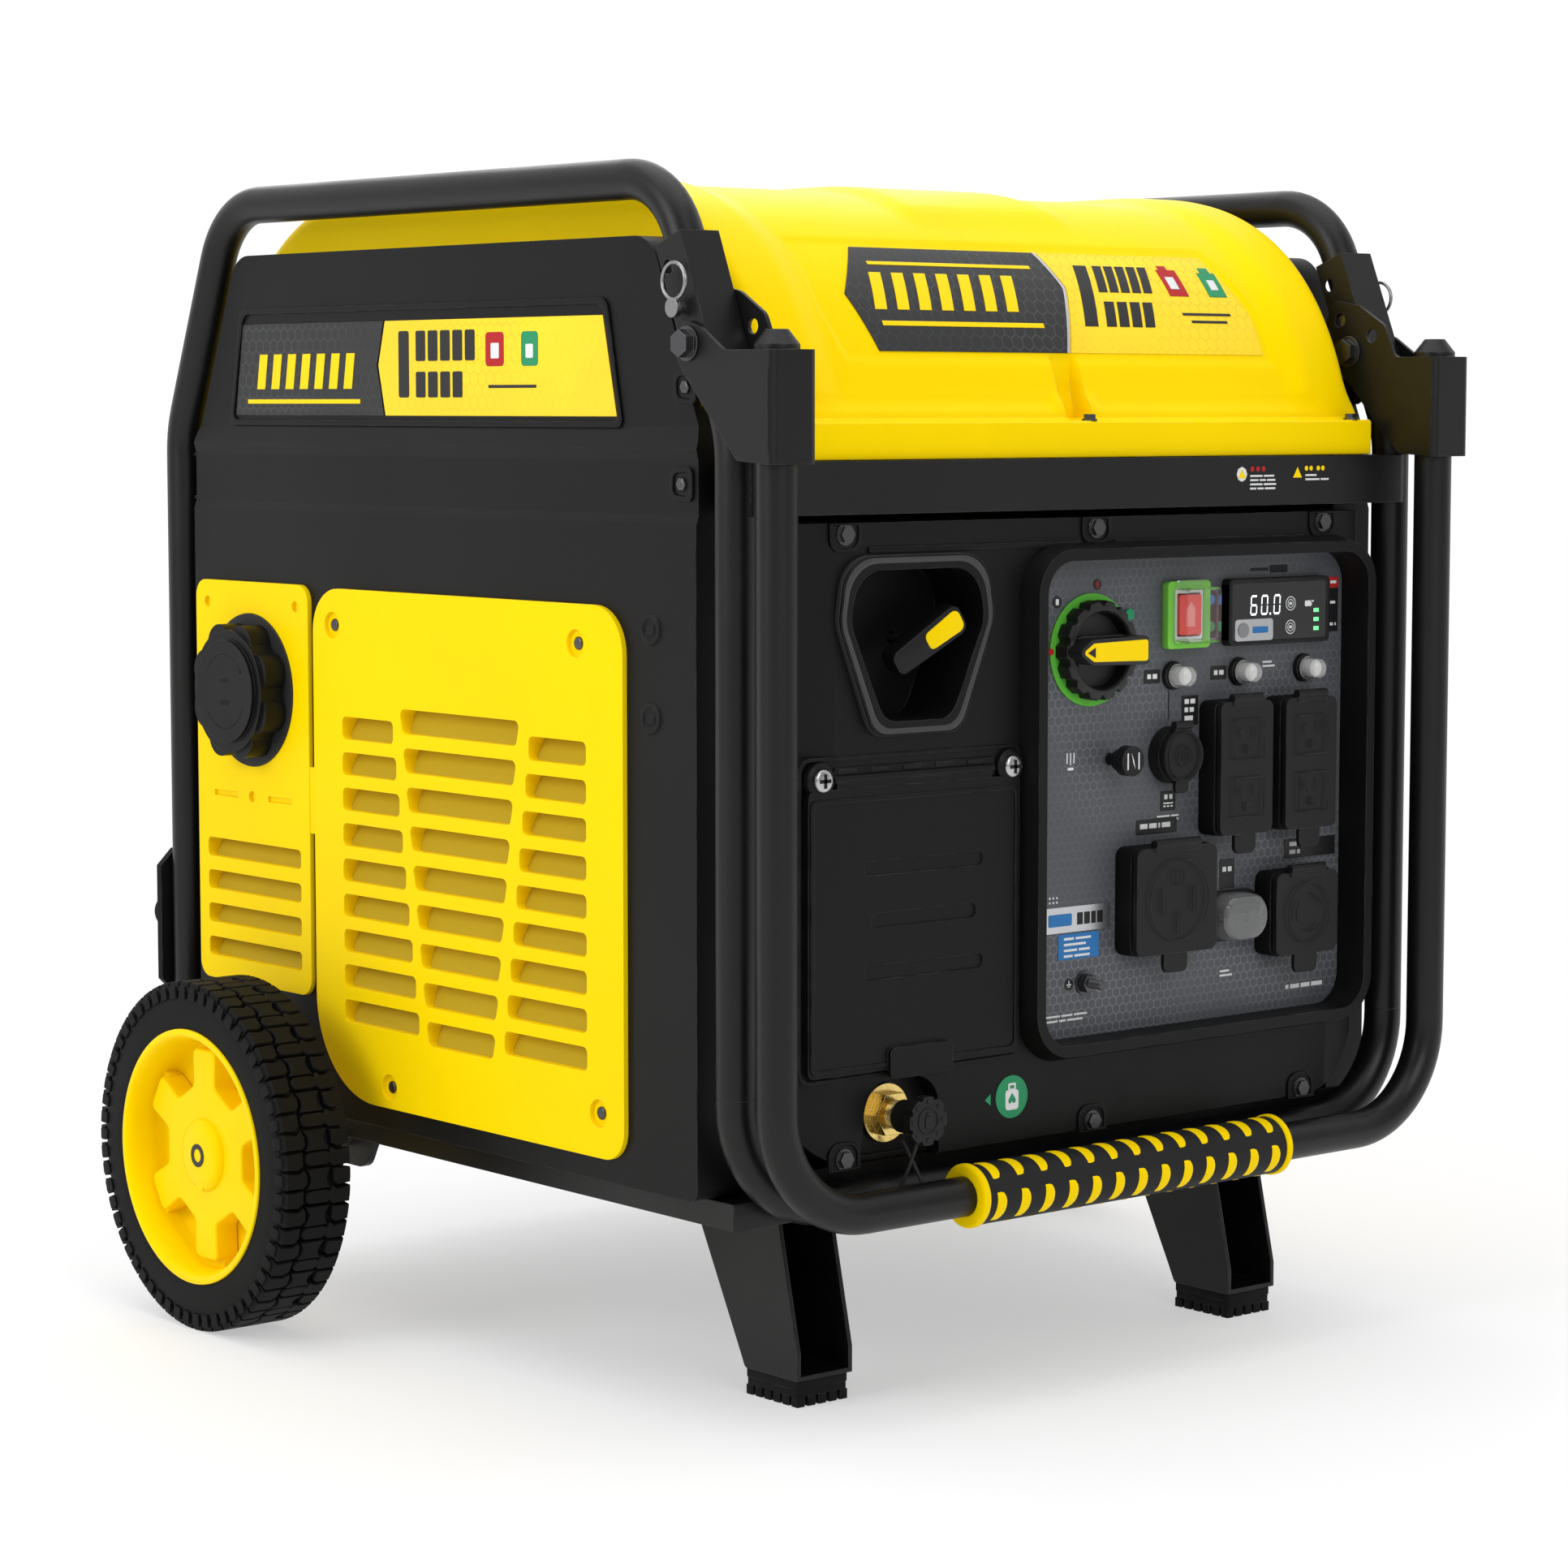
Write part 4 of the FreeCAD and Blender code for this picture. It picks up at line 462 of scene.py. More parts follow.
def lid_half_line():
    """Front half of the cover's profile, (y, z), from the ledge's foot to the middle."""
    ledge = lid.z0 + LEDGE_UP
    foot = Vector((lid.y0 + LEDGE_IN, ledge))
    crown = Vector((lid.y0 + 205.0, lid.z1))
    line = [Vector((lid.y0, lid.z0 + LEDGE_UP * k / 4)) for k in range(4)]
    line.append(Vector((lid.y0, ledge - 1.5)))
    line.append(Vector((lid.y0 + 1.5, ledge)))
    line.append(Vector((lid.y0 + 6.0, ledge)))
    line.append(foot - Vector((3.0, 0.0)))
    for k in range(SLOPE_STEPS + 1):
        t = k / SLOPE_STEPS
        line.append(bezier(foot + Vector((0, 2)), foot + Vector((19, 92)), crown - Vector((118, 1)), crown,
                           t))
    for k in range(1, 13):
        line.append(Vector((crown.x + (lid.cy - crown.x) * k / 12, lid.z1)))
    return line


half_line = lid_half_line()
lid_line = half_line + [Vector((2 * lid.cy - p.x, p.y)) for p in reversed(half_line[:-1])]
SLOPE_START = 8
lid_run = [0.0]
for before, after in zip(lid_line, lid_line[1:]):
    lid_run.append(lid_run[-1] + (after - before).length)
slope_zero = lid_run[SLOPE_START]


def lid_normal(row):
    low = max(row - 1, 0)
    high = min(row + 1, len(lid_line) - 1)
    along = (lid_line[high] - lid_line[low]).normalized()
    return Vector((-along.y, along.x))


FIELD_LOW, FIELD_HIGH = 40.0, 136.0     # label field, as distances up the slope


def field_edges(run):
    """Left and right ends of the label field at a distance up the slope."""
    left = -197.0 + 0.30 * max(0.0, 75.0 - run)
    right = 198.0 - 0.34 * max(0.0, run - 75.0)
    return left, right


def lid_lift(x, run):
    """Height of the cover's relief over its plain profile."""
    lift = -BAND_UP * (1 - smooth(abs(x), BAND_IN[1], BAND_IN[0])) * smooth(run, 2, 22)
    left, right = field_edges(run)
    inside = smooth(x, left - 2, left + 2) * (1 - smooth(x, right - 2, right + 2))
    inside *= smooth(run, FIELD_LOW - 2, FIELD_LOW + 2) * (1 - smooth(run, FIELD_HIGH - 2, FIELD_HIGH + 2))
    lift -= 1.4 * inside
    lift += 4.0 * smooth(run, 150, 185) * (1 - smooth(abs(x - 5), 58, 82))
    foot_band = smooth(abs(x), 16, 24) * (1 - smooth(abs(x), 215, 240))
    lift -= 1.6 * foot_band * (1 - smooth(abs(run - 10.0), 3.0, 7.0))
    return lift


NOTCH_HALF, NOTCH_UP, NOTCH_DEEP = 12.0, 46.0, 17.0


def lid_columns():
    """Distances across the cover, closer together where its relief changes."""
    half = []
    x = 0.0
    while x < lid.x1 - 12:
        half.append(x)
        fine = x < 24 or 186 < x < 232
        x += 1.2 if fine else 3.0
    return [-v for v in reversed(half[1:])] + half


END_R = 11.0


def build_lid():
    bm = bmesh.new()
    columns = []
    for k in range(7):
        turn = pi / 2 * k / 6
        columns.append((lid.x1 - END_R + END_R * sin(turn), END_R * (1 - cos(turn))))
    middle = [(x, 0.0) for x in lid_columns()]
    columns = [(-x, inset) for x, inset in reversed(columns)] + middle + columns
    total = len(lid_line)
    grid = []
    for x, inset in columns:
        line = []
        for row, point in enumerate(lid_line):
            mirrored = row > total // 2
            twin = total - 1 - row if mirrored else row
            run = lid_run[twin] - slope_zero
            lift = lid_lift(x, run) if twin >= SLOPE_START else 0.0
            lift -= inset * smooth(run, 0, 30)
            normal = lid_normal(row)
            place = point + normal * lift
            height = lid_line[twin].y - (lid.z0 + LEDGE_UP)
            if twin >= SLOPE_START and height < NOTCH_UP:
                side = 1 - smooth(abs(x), NOTCH_HALF - 2.5, NOTCH_HALF)
                room = NOTCH_DEEP * (1 - height / NOTCH_UP) ** 0.8 * side
                place.x += -room if mirrored else room
            line.append(bm.verts.new((x, place.x, place.y)))
        grid.append(line)
    bridge(bm, grid, closed=False)
    bm.faces.new(grid[0])
    bm.faces.new(grid[-1])
    bm.faces.new([line[0] for line in grid] + [line[-1] for line in reversed(grid)])
    return piece("cover_shell", bm, slot_material["cover_yellow"], angle=40)


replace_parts(build_lid(), "top_cover")


def on_lid(x, run, lift):
    """Point over the cover's front slope, in millimetres."""
    target = run + slope_zero
    row = next(i for i, value in enumerate(lid_run) if value >= target)
    share = (target - lid_run[row - 1]) / (lid_run[row] - lid_run[row - 1])
    point = lid_line[row - 1].lerp(lid_line[row], share)
    normal = lid_normal(row - 1).lerp(lid_normal(row), share)
    place = point + normal * (lid_lift(x, run) + lift)
    return Vector((x, place.x, place.y))


def lid_film(name, edges, low, high, lift, material, thick=0.5, rows=28, columns=40):
    """Film that follows the slope between two heights; edges(run) gives its two ends."""
    bm = bmesh.new()
    layers = []
    for height in (lift - thick, lift):
        sheet = []
        for r in range(rows + 1):
            run = low + (high - low) * r / rows
            left, right = edges(run)
            sheet.append([bm.verts.new(on_lid(left + (right - left) * c / columns, run, height))
                          for c in range(columns + 1)])
        layers.append(sheet)
        bridge(bm, sheet, closed=False)
    rims = []
    for sheet in layers:
        rim = list(sheet[0]) + [line[-1] for line in sheet[1:]]
        rim += list(reversed(sheet[-1]))[1:] + [line[0] for line in reversed(sheet)][1:-1]
        rims.append(rim)
    bridge(bm, rims)
    return piece(name, bm, material, angle=50)


def piecewise(run, knots):
    """Value at run of a line through (run, value) knots."""
    for (r0, v0), (r1, v1) in zip(knots, knots[1:]):
        if run <= r1:
            return v0 + (v1 - v0) * (run - r0) / (r1 - r0)
    return knots[-1][1]


BADGE_LOW, BADGE_HIGH = 46.0, 130.0


def badge_edges(run):
    left = piecewise(run, [(BADGE_LOW, -157.0), (88.0, -170.0), (BADGE_HIGH, -144.0)])
    right = piecewise(run, [(BADGE_LOW, 8.0), (96.0, 26.0), (BADGE_HIGH, 18.0)])
    return left, right


def yellow_edges(run):
    return badge_edges(run)[1] + 1.5, field_edges(run)[1] - 7.0


lid_film("cover_badge", badge_edges, BADGE_LOW, BADGE_HIGH, 0.7, badge_film)
lid_film("cover_badge_edge", lambda run: (badge_edges(run)[1] - 2.2, badge_edges(run)[1]), BADGE_LOW,
         BADGE_HIGH,
         1.0, silver_film, columns=2)
lid_film("cover_film", yellow_edges, BADGE_LOW, BADGE_HIGH, 0.55, yellow_film)


def lid_bars(name, bars, lift, material):
    """Short printed bars on the slope, each (x0, x1, low, high, slant)."""
    for number, (x0, x1, low, high, slant) in enumerate(bars):
        def edges(run, x0=x0, x1=x1, low=low, slant=slant):
            return x0 + slant * (run - low), x1 + slant * (run - low)

        lid_film(f"{name}_{number}", edges, low, high, lift, material, 0.3, 4, 4)


lid_bars("badge_stripe", [(-150 + 19 * k, -140 + 19 * k, 76, 106, 0.28) for k in range(7)], 1.0, yellow_print)
lid_bars("badge_rule", [(-148, -8, 64, 67.5, 0.0), (-138, 4, 113, 116, 0.0)], 1.0, yellow_print)
lid_bars("rating_block", [(30, 42, 66, 118, 0.3)] + [(56 + 10.5 * k, 64 + 10.5 * k, 94, 118,
                                                      0.3) for k in range(5)]
         + [(50 + 12 * k, 59 + 12 * k, 66, 86, 0.3) for k in range(4)], 0.85, black_print)
lid_bars("fuel_mark_red", [(122, 140, 92, 116, 0.0), (125, 133, 116, 120, 0.0)], 0.85, red_print)
lid_bars("fuel_mark_green", [(160, 177, 92, 114, 0.0), (164, 173, 114, 119, 0.0)], 0.85, green_print)
lid_bars("fuel_mark_white", [(126, 134, 98, 109, 0.0), (165, 172, 98, 107, 0.0)], 1.1, white_print)
lid_bars("fuel_rule", [(126, 172, 76, 78, 0.0), (132, 166, 70, 72, 0.0)], 0.85, black_print)


# ---- side labels and fittings -----------------------------------------------------------
panel = Box("left_side_panel")
UPPER_IN = 5.0            # the side panels' upper part lies this far in


def side_label(side, tag):
    """Raised label field on a side panel's upper part, with its film."""
    face = side * (abs(panel.x0) - UPPER_IN)
    y0, y1 = panel.y0 + 84.0, panel.y1 - 50.0
    z0, z1 = 627.0, 694.0
    mid = (y0 + y1) / 2
    flip = 1 if side < 0 else -1

    def put(points):
        return [(mid + flip * (y - mid), z) for y, z in points]

    def field(grow):
        corners = [(y1 + grow, z0 - grow, 5), (y1 - 14 + grow, z1 + grow, 9), (y0 + 16 - grow, z1 + grow, 9),
                   (y0 - grow, z0 - grow, 5)]
        return put(rounded(corners))

    bm = bmesh.new()
    ring_prism(bm, field(7.0), field(3.0), "x", face, face + side * 1.6)
    piece(f"{tag}_label_rim", bm, slot_material["panel_black"], bevel=0.5)
    split = y1 - 176.0
    dark = put([(y1, z0), (y1 - 10, z1 - 4), (split - 8, z1 - 4), (split, (z0 + z1) / 2), (split - 8, z0)])
    light = put([(split - 10, z0), (split - 2, (z0 + z1) / 2), (split - 10, z1 - 4), (y0 + 14, z1 - 4),
                 (y0, z0)])
    plate_piece(f"{tag}_label_dark", [dark], "x", face, face + side * 0.6, side_badge_film)
    plate_piece(f"{tag}_label_yellow", [light], "x", face, face + side * 0.6, side_yellow_film)
    bars = []
    for k in range(7):
        y = y1 - 28 - 18 * k
        bars.append(put([(y, z0 + 18), (y - 10, z0 + 18), (y - 14, z0 + 42), (y - 4, z0 + 42)]))
    bars.append(put([(y1 - 16, z0 + 8), (y1 - 156, z0 + 8), (y1 - 156, z0 + 11), (y1 - 16, z0 + 11)]))
    plate_piece(f"{tag}_label_stripes", bars, "x", face, face + side * 0.8, yellow_print)
    blocks = [put(rectangle(split - 38, split - 26, z0 + 12, z0 + 56, 2))]
    for k in range(5):
        y = split - 46 - 14 * k
        blocks.append(put(rectangle(y - 11, y, z0 + 36, z0 + 56, 1.5)))
        if k < 4:
            blocks.append(put(rectangle(y - 11, y, z0 + 12, z0 + 29, 1.5)))
    plate_piece(f"{tag}_label_blocks", blocks, "x", face, face + side * 0.8, black_print)
    red = put(rectangle(split - 145, split - 125, z0 + 32, z0 + 54, 3))
    green = put(rectangle(split - 182, split - 164, z0 + 32, z0 + 54, 3))
    inner = [put(rectangle(split - 140, split - 131, z0 + 37, z0 + 47, 1)),
             put(rectangle(split - 177, split - 169, z0 + 37, z0 + 46, 1))]
    plate_piece(f"{tag}_label_red", [red], "x", face, face + side * 0.8, red_print)
    plate_piece(f"{tag}_label_green", [green], "x", face, face + side * 0.8, green_print)
    plate_piece(f"{tag}_label_white", inner, "x", face, face + side * 1.0, white_print)
    plate_piece(f"{tag}_label_rule", [put(rectangle(split - 180, split - 128, z0 + 18, z0 + 20))], "x",
                face, face + side * 0.8, black_print)


for side_sign, side_name in ((-1, "left"), (1, "right")):
    side_label(side_sign, side_name)


def turned(name, profile, centre, axis, material, body="machine", count=48, bevel=0.0,
           closed=False):
    """Piece turned about an axis from (distance along the axis, radius) points."""
    bm = bmesh.new()
    spin(bm, profile, centre, axis, count, closed)
    return piece(name, bm, material, body, bevel)


def dome(face, out, radius, height):
    """Profile of a domed button that stands out of a face."""
    steps = 6
    line = [(face, radius)]
    for k in range(steps + 1):
        turn = pi / 2 * k / steps
        line.append((face + out * height * (0.35 + 0.65 * sin(turn)),
                     radius * cos(turn) ** 0.6 if k < steps else 0.0))
    return line


def cross_head(name, a, b, face, out, axis, radius, material, body="machine"):
    """Pan-head screw with a cross recess shown as two dark bars on its head: painted shade of the recess."""
    turned(name, dome(face, out, radius, radius * 0.42), (a, b), axis, material, body)
    length, width = radius * 0.62, radius * 0.16
    bars = [rectangle(a - length, a + length, b - width, b + width),
            rectangle(a - width, a + width, b - length, b + length)]
    top = face + out * radius * 0.40
    plate_piece(f"{name}_cross", bars, axis, top, top + out * radius * 0.045, painted_shade_black, body)


vents = Box("vent_panels")
front_of_panel = panel.y0
for side in (-1, 1):
    tag = "left" if side < 0 else "right"
    skin = side * abs(panel.x0)
    recess_floor = skin + side * 0.5
    for number, (y, z) in enumerate(((vents.y1 - 23.5, vents.z1 - 25.0), (vents.y0 + 48.5, vents.z1 - 25.0),
                                     (vents.y0 + 260.0, vents.z0 + 14.5),
                                     (vents.y0 + 26.5, vents.z0 + 28.5)), start=1):
        turned(f"{tag}_vent_screw_{number}", dome(recess_floor, side, 4.2, 1.8), (y, z), "x",
               slot_material["bolt_steel"])
    for number, z in enumerate((496.0, 441.0), start=1):
        y = front_of_panel + 44.5
        profile = [(skin, 10.0), (skin + side * 1.2, 9.2), (skin + side * 1.2, 7.4), (skin + side * 0.2, 6.4),
                   (skin + side * 0.2, 4.6), (skin + side * 1.0, 3.6), (skin + side * 1.0, 0.0)]
        turned(f"{tag}_boss_{number}", profile, (y, z), "x", slot_material["panel_black"])
    for number, z in enumerate((645.0, 586.0), start=1):
        y = front_of_panel + 17.0
        base = skin - side * (UPPER_IN if z > 610 else 2.0)
        pocket = rounded([(y - 13, z - 11, 5), (y + 9, z - 9, 6), (y + 9, z + 9, 6), (y - 13, z + 11, 5)])
        inner = [Vector((y - 2, z)) + (p - Vector((y - 2, z))) * 0.72 for p in pocket]
        bm = bmesh.new()
        ring_prism(bm, pocket, inner, "x", base, base + side * 1.8)
        piece(f"{tag}_shoulder_rim_{number}", bm, slot_material["panel_black"], bevel=0.5)
        # Dark floor of the pocket: painted shade of the hollow.
        plate_piece(f"{tag}_shoulder_well_{number}", [inner], "x", base, base + side * 0.4, painted_shade_black)
        turned(f"{tag}_shoulder_bolt_{number}", dome(base + side * 0.4, side, 4.6, 2.6), (y - 2, z), "x",
               slot_material["bolt_steel"], count=6)

def slot_blades(name, side, box, slots):
    """Sloping blades behind a panel's slots, each from the slot's foot up and inwards."""
    bm = bmesh.new()
    face = abs(box.x0 if side < 0 else box.x1)
    for y0, y1, z, height in slots:
        low, high = z - height / 2 - 1.0, z + height / 2 + 3.0
        outline = [(5.0, low), (6.4, low - 1.0), (17.0, high - 1.0), (15.4, high)]
        rings = [[bm.verts.new((side * (face - d), y, h)) for d, h in outline] for y in (y0 - 5, y1 + 5)]
        bridge(bm, rings)
        bm.faces.new(rings[0])
        bm.faces.new(rings[1])
    # Blades in the darkened yellow: painted shade of the slots' insides.
    piece(name, bm, painted_shade_blade_yellow)


def vent_slot_places():
    """(start, end, middle height, height) of each slot of the large vent panel."""
    places = []
    for row in range(9):
        side_z, taper = vents.z1 - 94.5 - 24.3 * row, 3.5 * row
        places.append((vents.y0 + 252.0 - taper, vents.y0 + 313.0, side_z, 15.5))
        places.append((vents.y0 + 38.0, vents.y0 + 99.0 + taper, side_z, 15.5))
        places.append((vents.y0 + 110.5 + taper, vents.y0 + 242.5 - taper, vents.z1 - 86.0 - 25.95 * row,
                       16.5))
    return places


slot_blades("left_vent_blades", -1, vents, vent_slot_places())
slot_blades("right_vent_blades", 1, vents, vent_slot_places())
filler_panel = Box("fuel_cap_panel")
slot_blades("fuel_panel_blades", -1, filler_panel,
            [(filler_panel.y1 - 132.5, filler_panel.y1 - 12.0, filler_panel.z1 - drop,
              13.5) for drop in (191.0, 214.5, 238.5, 262.5)])

fuel_cap = Box("fuel_cap")
cap_face = fuel_cap.x0
for number, start in enumerate((0.35, 0.35 + pi), start=1):
    bm = bmesh.new()
    sweep = pi - 0.9
    outer = circle(fuel_cap.cy, fuel_cap.cz, 27.0, 24, start, sweep * 25 / 24)
    inner = circle(fuel_cap.cy, fuel_cap.cz, 25.2, 24, start, sweep * 25 / 24)
    prism(bm, outer + list(reversed(inner)), "x", cap_face + 0.6, cap_face)
    piece(f"fuel_cap_arc_{number}", bm, slot_material["panel_black"], "fuel_cap")
for number, z in enumerate((fuel_cap.cz - 8, fuel_cap.cz + 8), start=1):
    plate_piece(f"fuel_cap_mark_{number}", [rectangle(fuel_cap.cy - 6, fuel_cap.cy + 6, z - 2, z + 2, 1)],
                "x",
                cap_face + 0.6, cap_face, slot_material["panel_black"], "fuel_cap")


# ---- wheels -----------------------------------------------------------------------------
LUG_PITCHES = 29
CARCASS_R = 115.2


def wheel(side):
    """Tyre with a lugged tread, and a six-armed rim, on one wheel's body."""
    tag = "left" if side < 0 else "right"
    body = f"{tag}_wheel"
    tyre = Box(f"{tag}_tyre")
    outer_r = (tyre.z1 - tyre.z0) / 2
    width = tyre.x1 - tyre.x0
    hub = (tyre.cy, tyre.cz)
    rim_r = 88.5

    def across(depth):
        """X of a depth measured in from the wheel's outer face."""
        return side * (abs(tyre.x0 if side < 0 else tyre.x1) - depth)

    walls = [(2.6, rim_r - 4), (1.6, rim_r), (1.2, rim_r + 4), (1.2, 108), (2.4, 112.2), (6.5, CARCASS_R),
             (width - 6.5, CARCASS_R), (width - 2.4, 112.2), (width - 1, 106), (width - 1, rim_r),
             (width - 3, rim_r - 4)]
    bm = bmesh.new()
    spin(bm, [(across(d), r) for d, r in walls], hub, "x", 96, closed=True)
    carcass = piece(f"{tag}_tyre_carcass", bm, slot_material["tyre_rubber"], body, angle=28)

    bm = bmesh.new()
    pitch = 2 * pi * CARCASS_R / LUG_PITCHES

    def block(outline, floor=CARCASS_R - 1.0, top=outer_r):
        """Tread block: an outline of (depth, distance round the tread) raised from the carcass."""
        rings = []
        for radius, shrink in ((floor, 0.0), (top - 0.9, 0.0), (top, 0.8)):
            mid = sum(outline, Vector((0, 0))) / len(outline)
            ring = []
            for p in outline:
                q = mid + (p - mid) * (1 - shrink / max(4.0, (p - mid).length))
                turn = q.y / CARCASS_R
                ring.append(bm.verts.new((across(q.x), hub[0] + radius * cos(turn),
                                          hub[1] + radius * sin(turn))))
            rings.append(ring)
        bridge(bm, rings)
        bm.faces.new(rings[0])
        bm.faces.new(rings[-1])

    def shift(points, by):
        return [Vector((x, y + by)) for x, y in points]

    pill = [tuple(p) for p in rectangle(17.5, 37.5, -4.4, 4.4, 4.2, 3)]
    waist = [(18, 6.2), (37, 6.2), (34, 11), (34, 15.1), (37, 19.8), (18, 19.8), (21, 15.1), (21, 11)]
    near_a = [(2.2, -4.4), (15.8, -5.2), (15.8, 3.4), (12.0, 6.4), (2.2, 5.4)]
    near_b = [(2.2, 7.6), (12.5, 8.6), (16.4, 6.2), (18.6, 9.8), (18.6, 15.8), (15.8, 18.4), (2.2, 18.2)]
    far_a = [(width - x, y) for x, y in near_a]
    far_b = [(width - x, y) for x, y in near_b]
    for k in range(LUG_PITCHES):
        at = pitch * k
        for shape in (pill, waist):
            block(shift(shape, at))
        for shape in (near_a, near_b):
            block(shift(shape, at))
        for shape in (far_a, far_b):
            block(shift(shape, at + pitch / 2))
        for low, high in ((-3.2, 4.0), (8.6, 16.6)):
            shoulder = [(0.2, low), (4.0, low), (4.0, high), (0.2, high)]
            block(shift(shoulder, at), 109.0, 117.6)
            block(shift([(width - x, y) for x, y in shoulder], at + pitch / 2), 109.0, 117.6)
    piece(f"{tag}_tread", bm, slot_material["tyre_rubber"], body, angle=40)
    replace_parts(carcass, f"{tag}_tyre")

    yellow = slot_material["rim_yellow"]
    well = rim_r - 8
    floor = 31.0
    barrel = [(0.4, rim_r - 0.6), (0.0, rim_r - 1.4), (0.0, rim_r - 4.2), (0.9, rim_r - 5.4),
              (3.4, rim_r - 6.6),
              (6.0, well), (22.0, well - 1.6), (floor - 3, well - 3.0), (floor, well - 7.0), (floor, 24.0),
              (floor + 5, 24.0), (floor + 5, well - 2), (width - 3, well - 1), (width - 3, rim_r - 4.2),
              (2.8, rim_r - 4.2),
              (2.4, rim_r - 0.4)]
    bm = bmesh.new()
    spin(bm, [(across(d), r) for d, r in barrel], hub, "x", 96, closed=True)
    rim = piece(f"{tag}_rim_barrel", bm, yellow, body, angle=40)
    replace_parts(rim, f"{tag}_rim")

    arm_half, tip_r, floor_r = 13.0, 73.0, 43.0
    corners = []
    for k in range(6):
        turn = pi / 2 + pi / 3 * k

        def local(out, over):
            return (hub[0] + out * cos(turn) - over * sin(turn), hub[1] + out * sin(turn) + over * cos(turn))

        corners.append((*local(floor_r + 4.0, -arm_half), 6))
        corners.append((*local(tip_r, -arm_half - 1.2), 5))
        corners.append((*local(tip_r, arm_half + 1.2), 5))
        corners.append((*local(floor_r + 4.0, arm_half), 6))
    star = rounded(corners, 5)
    bm = bmesh.new()
    prism(bm, star, "x", across(floor), across(13.0))
    soften(bm, 2.4, 50, 3)
    piece(f"{tag}_rim_star", bm, yellow, body, angle=35)

    bm = bmesh.new()
    for k in range(6):
        turn = pi / 2 + pi / 3 * k
        along = Vector((cos(turn), sin(turn)))
        over = Vector((-sin(turn), cos(turn)))
        centre = Vector(hub)
        foot = [centre + along * r + over * s for r, s in ((66, -12.5), (well + 0.5, -14), (well + 0.5, 14),
                                                           (66, 12.5))]
        prism(bm, foot, "x", across(floor), across(19.5))
    soften(bm, 1.6, 50, 2)
    piece(f"{tag}_rim_feet", bm, yellow, body, angle=35)

    dish = [(13.2, 33.0), (13.6, 31.0), (14.2, 28.0), (14.4, 25.6), (11.4, 25.0), (9.4, 23.4), (8.2, 20.0),
            (7.6, 12.0), (7.4, 0.0)]
    turned(f"{tag}_hub_cap", [(across(d), r) for d, r in dish], hub, "x", yellow, body, 64)
    plate_piece(f"{tag}_hub_notch", [rectangle(hub[0] - 4, hub[0] + 4, hub[1] - 24.4, hub[1] - 20.4, 1.2)],
                "x",
                across(9.6), across(8.6), slot_material["rim_yellow"], body, 0.3)
    bm = bmesh.new()
    ring_prism(bm, circle(*hub, 8.0, 40), circle(*hub, 4.6, 40), "x", across(7.9), across(7.0))
    piece(f"{tag}_hub_mark", bm, black_print, body)


for side in (-1, 1):
    wheel(side)


def build_pads():
    """Rubber pads under the legs: a sleeve round the leg's foot over rows of square studs."""
    pads = Box("foot_pads")
    length = pads.y1 - pads.y0
    width = 43.0
    first = None
    for side, tag in ((-1, "left"), (1, "right")):
        x1 = side * abs(pads.x1)
        x0 = x1 - side * width
        low, high = min(x0, x1), max(x0, x1)
        bm = bmesh.new()
        place = rectangle(low + 0.6, high - 0.6, pads.y0 + 0.6, pads.y1 - 0.6, 2.5, 3)
        prism(bm, place, "z", 6.5, pads.z1 - 6.0)
        wide = rectangle(low, high, pads.y0, pads.y1, 3, 3)
        prism(bm, wide, "z", pads.z1 - 6.0, pads.z1 - 0.2)
        columns, rows, gap = 5, 6, 2.6
        for i in range(columns):
            for k in range(rows):
                a0 = low + 0.6 + (width - 1.2 + gap) * i / columns
                b0 = pads.y0 + 0.6 + (length - 1.2 + gap) * k / rows
                a1 = a0 + (width - 1.2 + gap) / columns - gap
                b1 = b0 + (length - 1.2 + gap) / rows - gap
                prism(bm, rectangle(a0, a1, b0, b1), "z", 0.0, 6.6)
        pad = piece(f"{tag}_foot_pad", bm, slot_material["pad_rubber"], bevel=0.5)
        first = first or pad
    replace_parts(first, "foot_pads")


build_pads()


# ---- tow handle -------------------------------------------------------------------------
grip = Box("handle_grip")
GRIP_ROWS, GRIP_COLUMNS = 4, 13


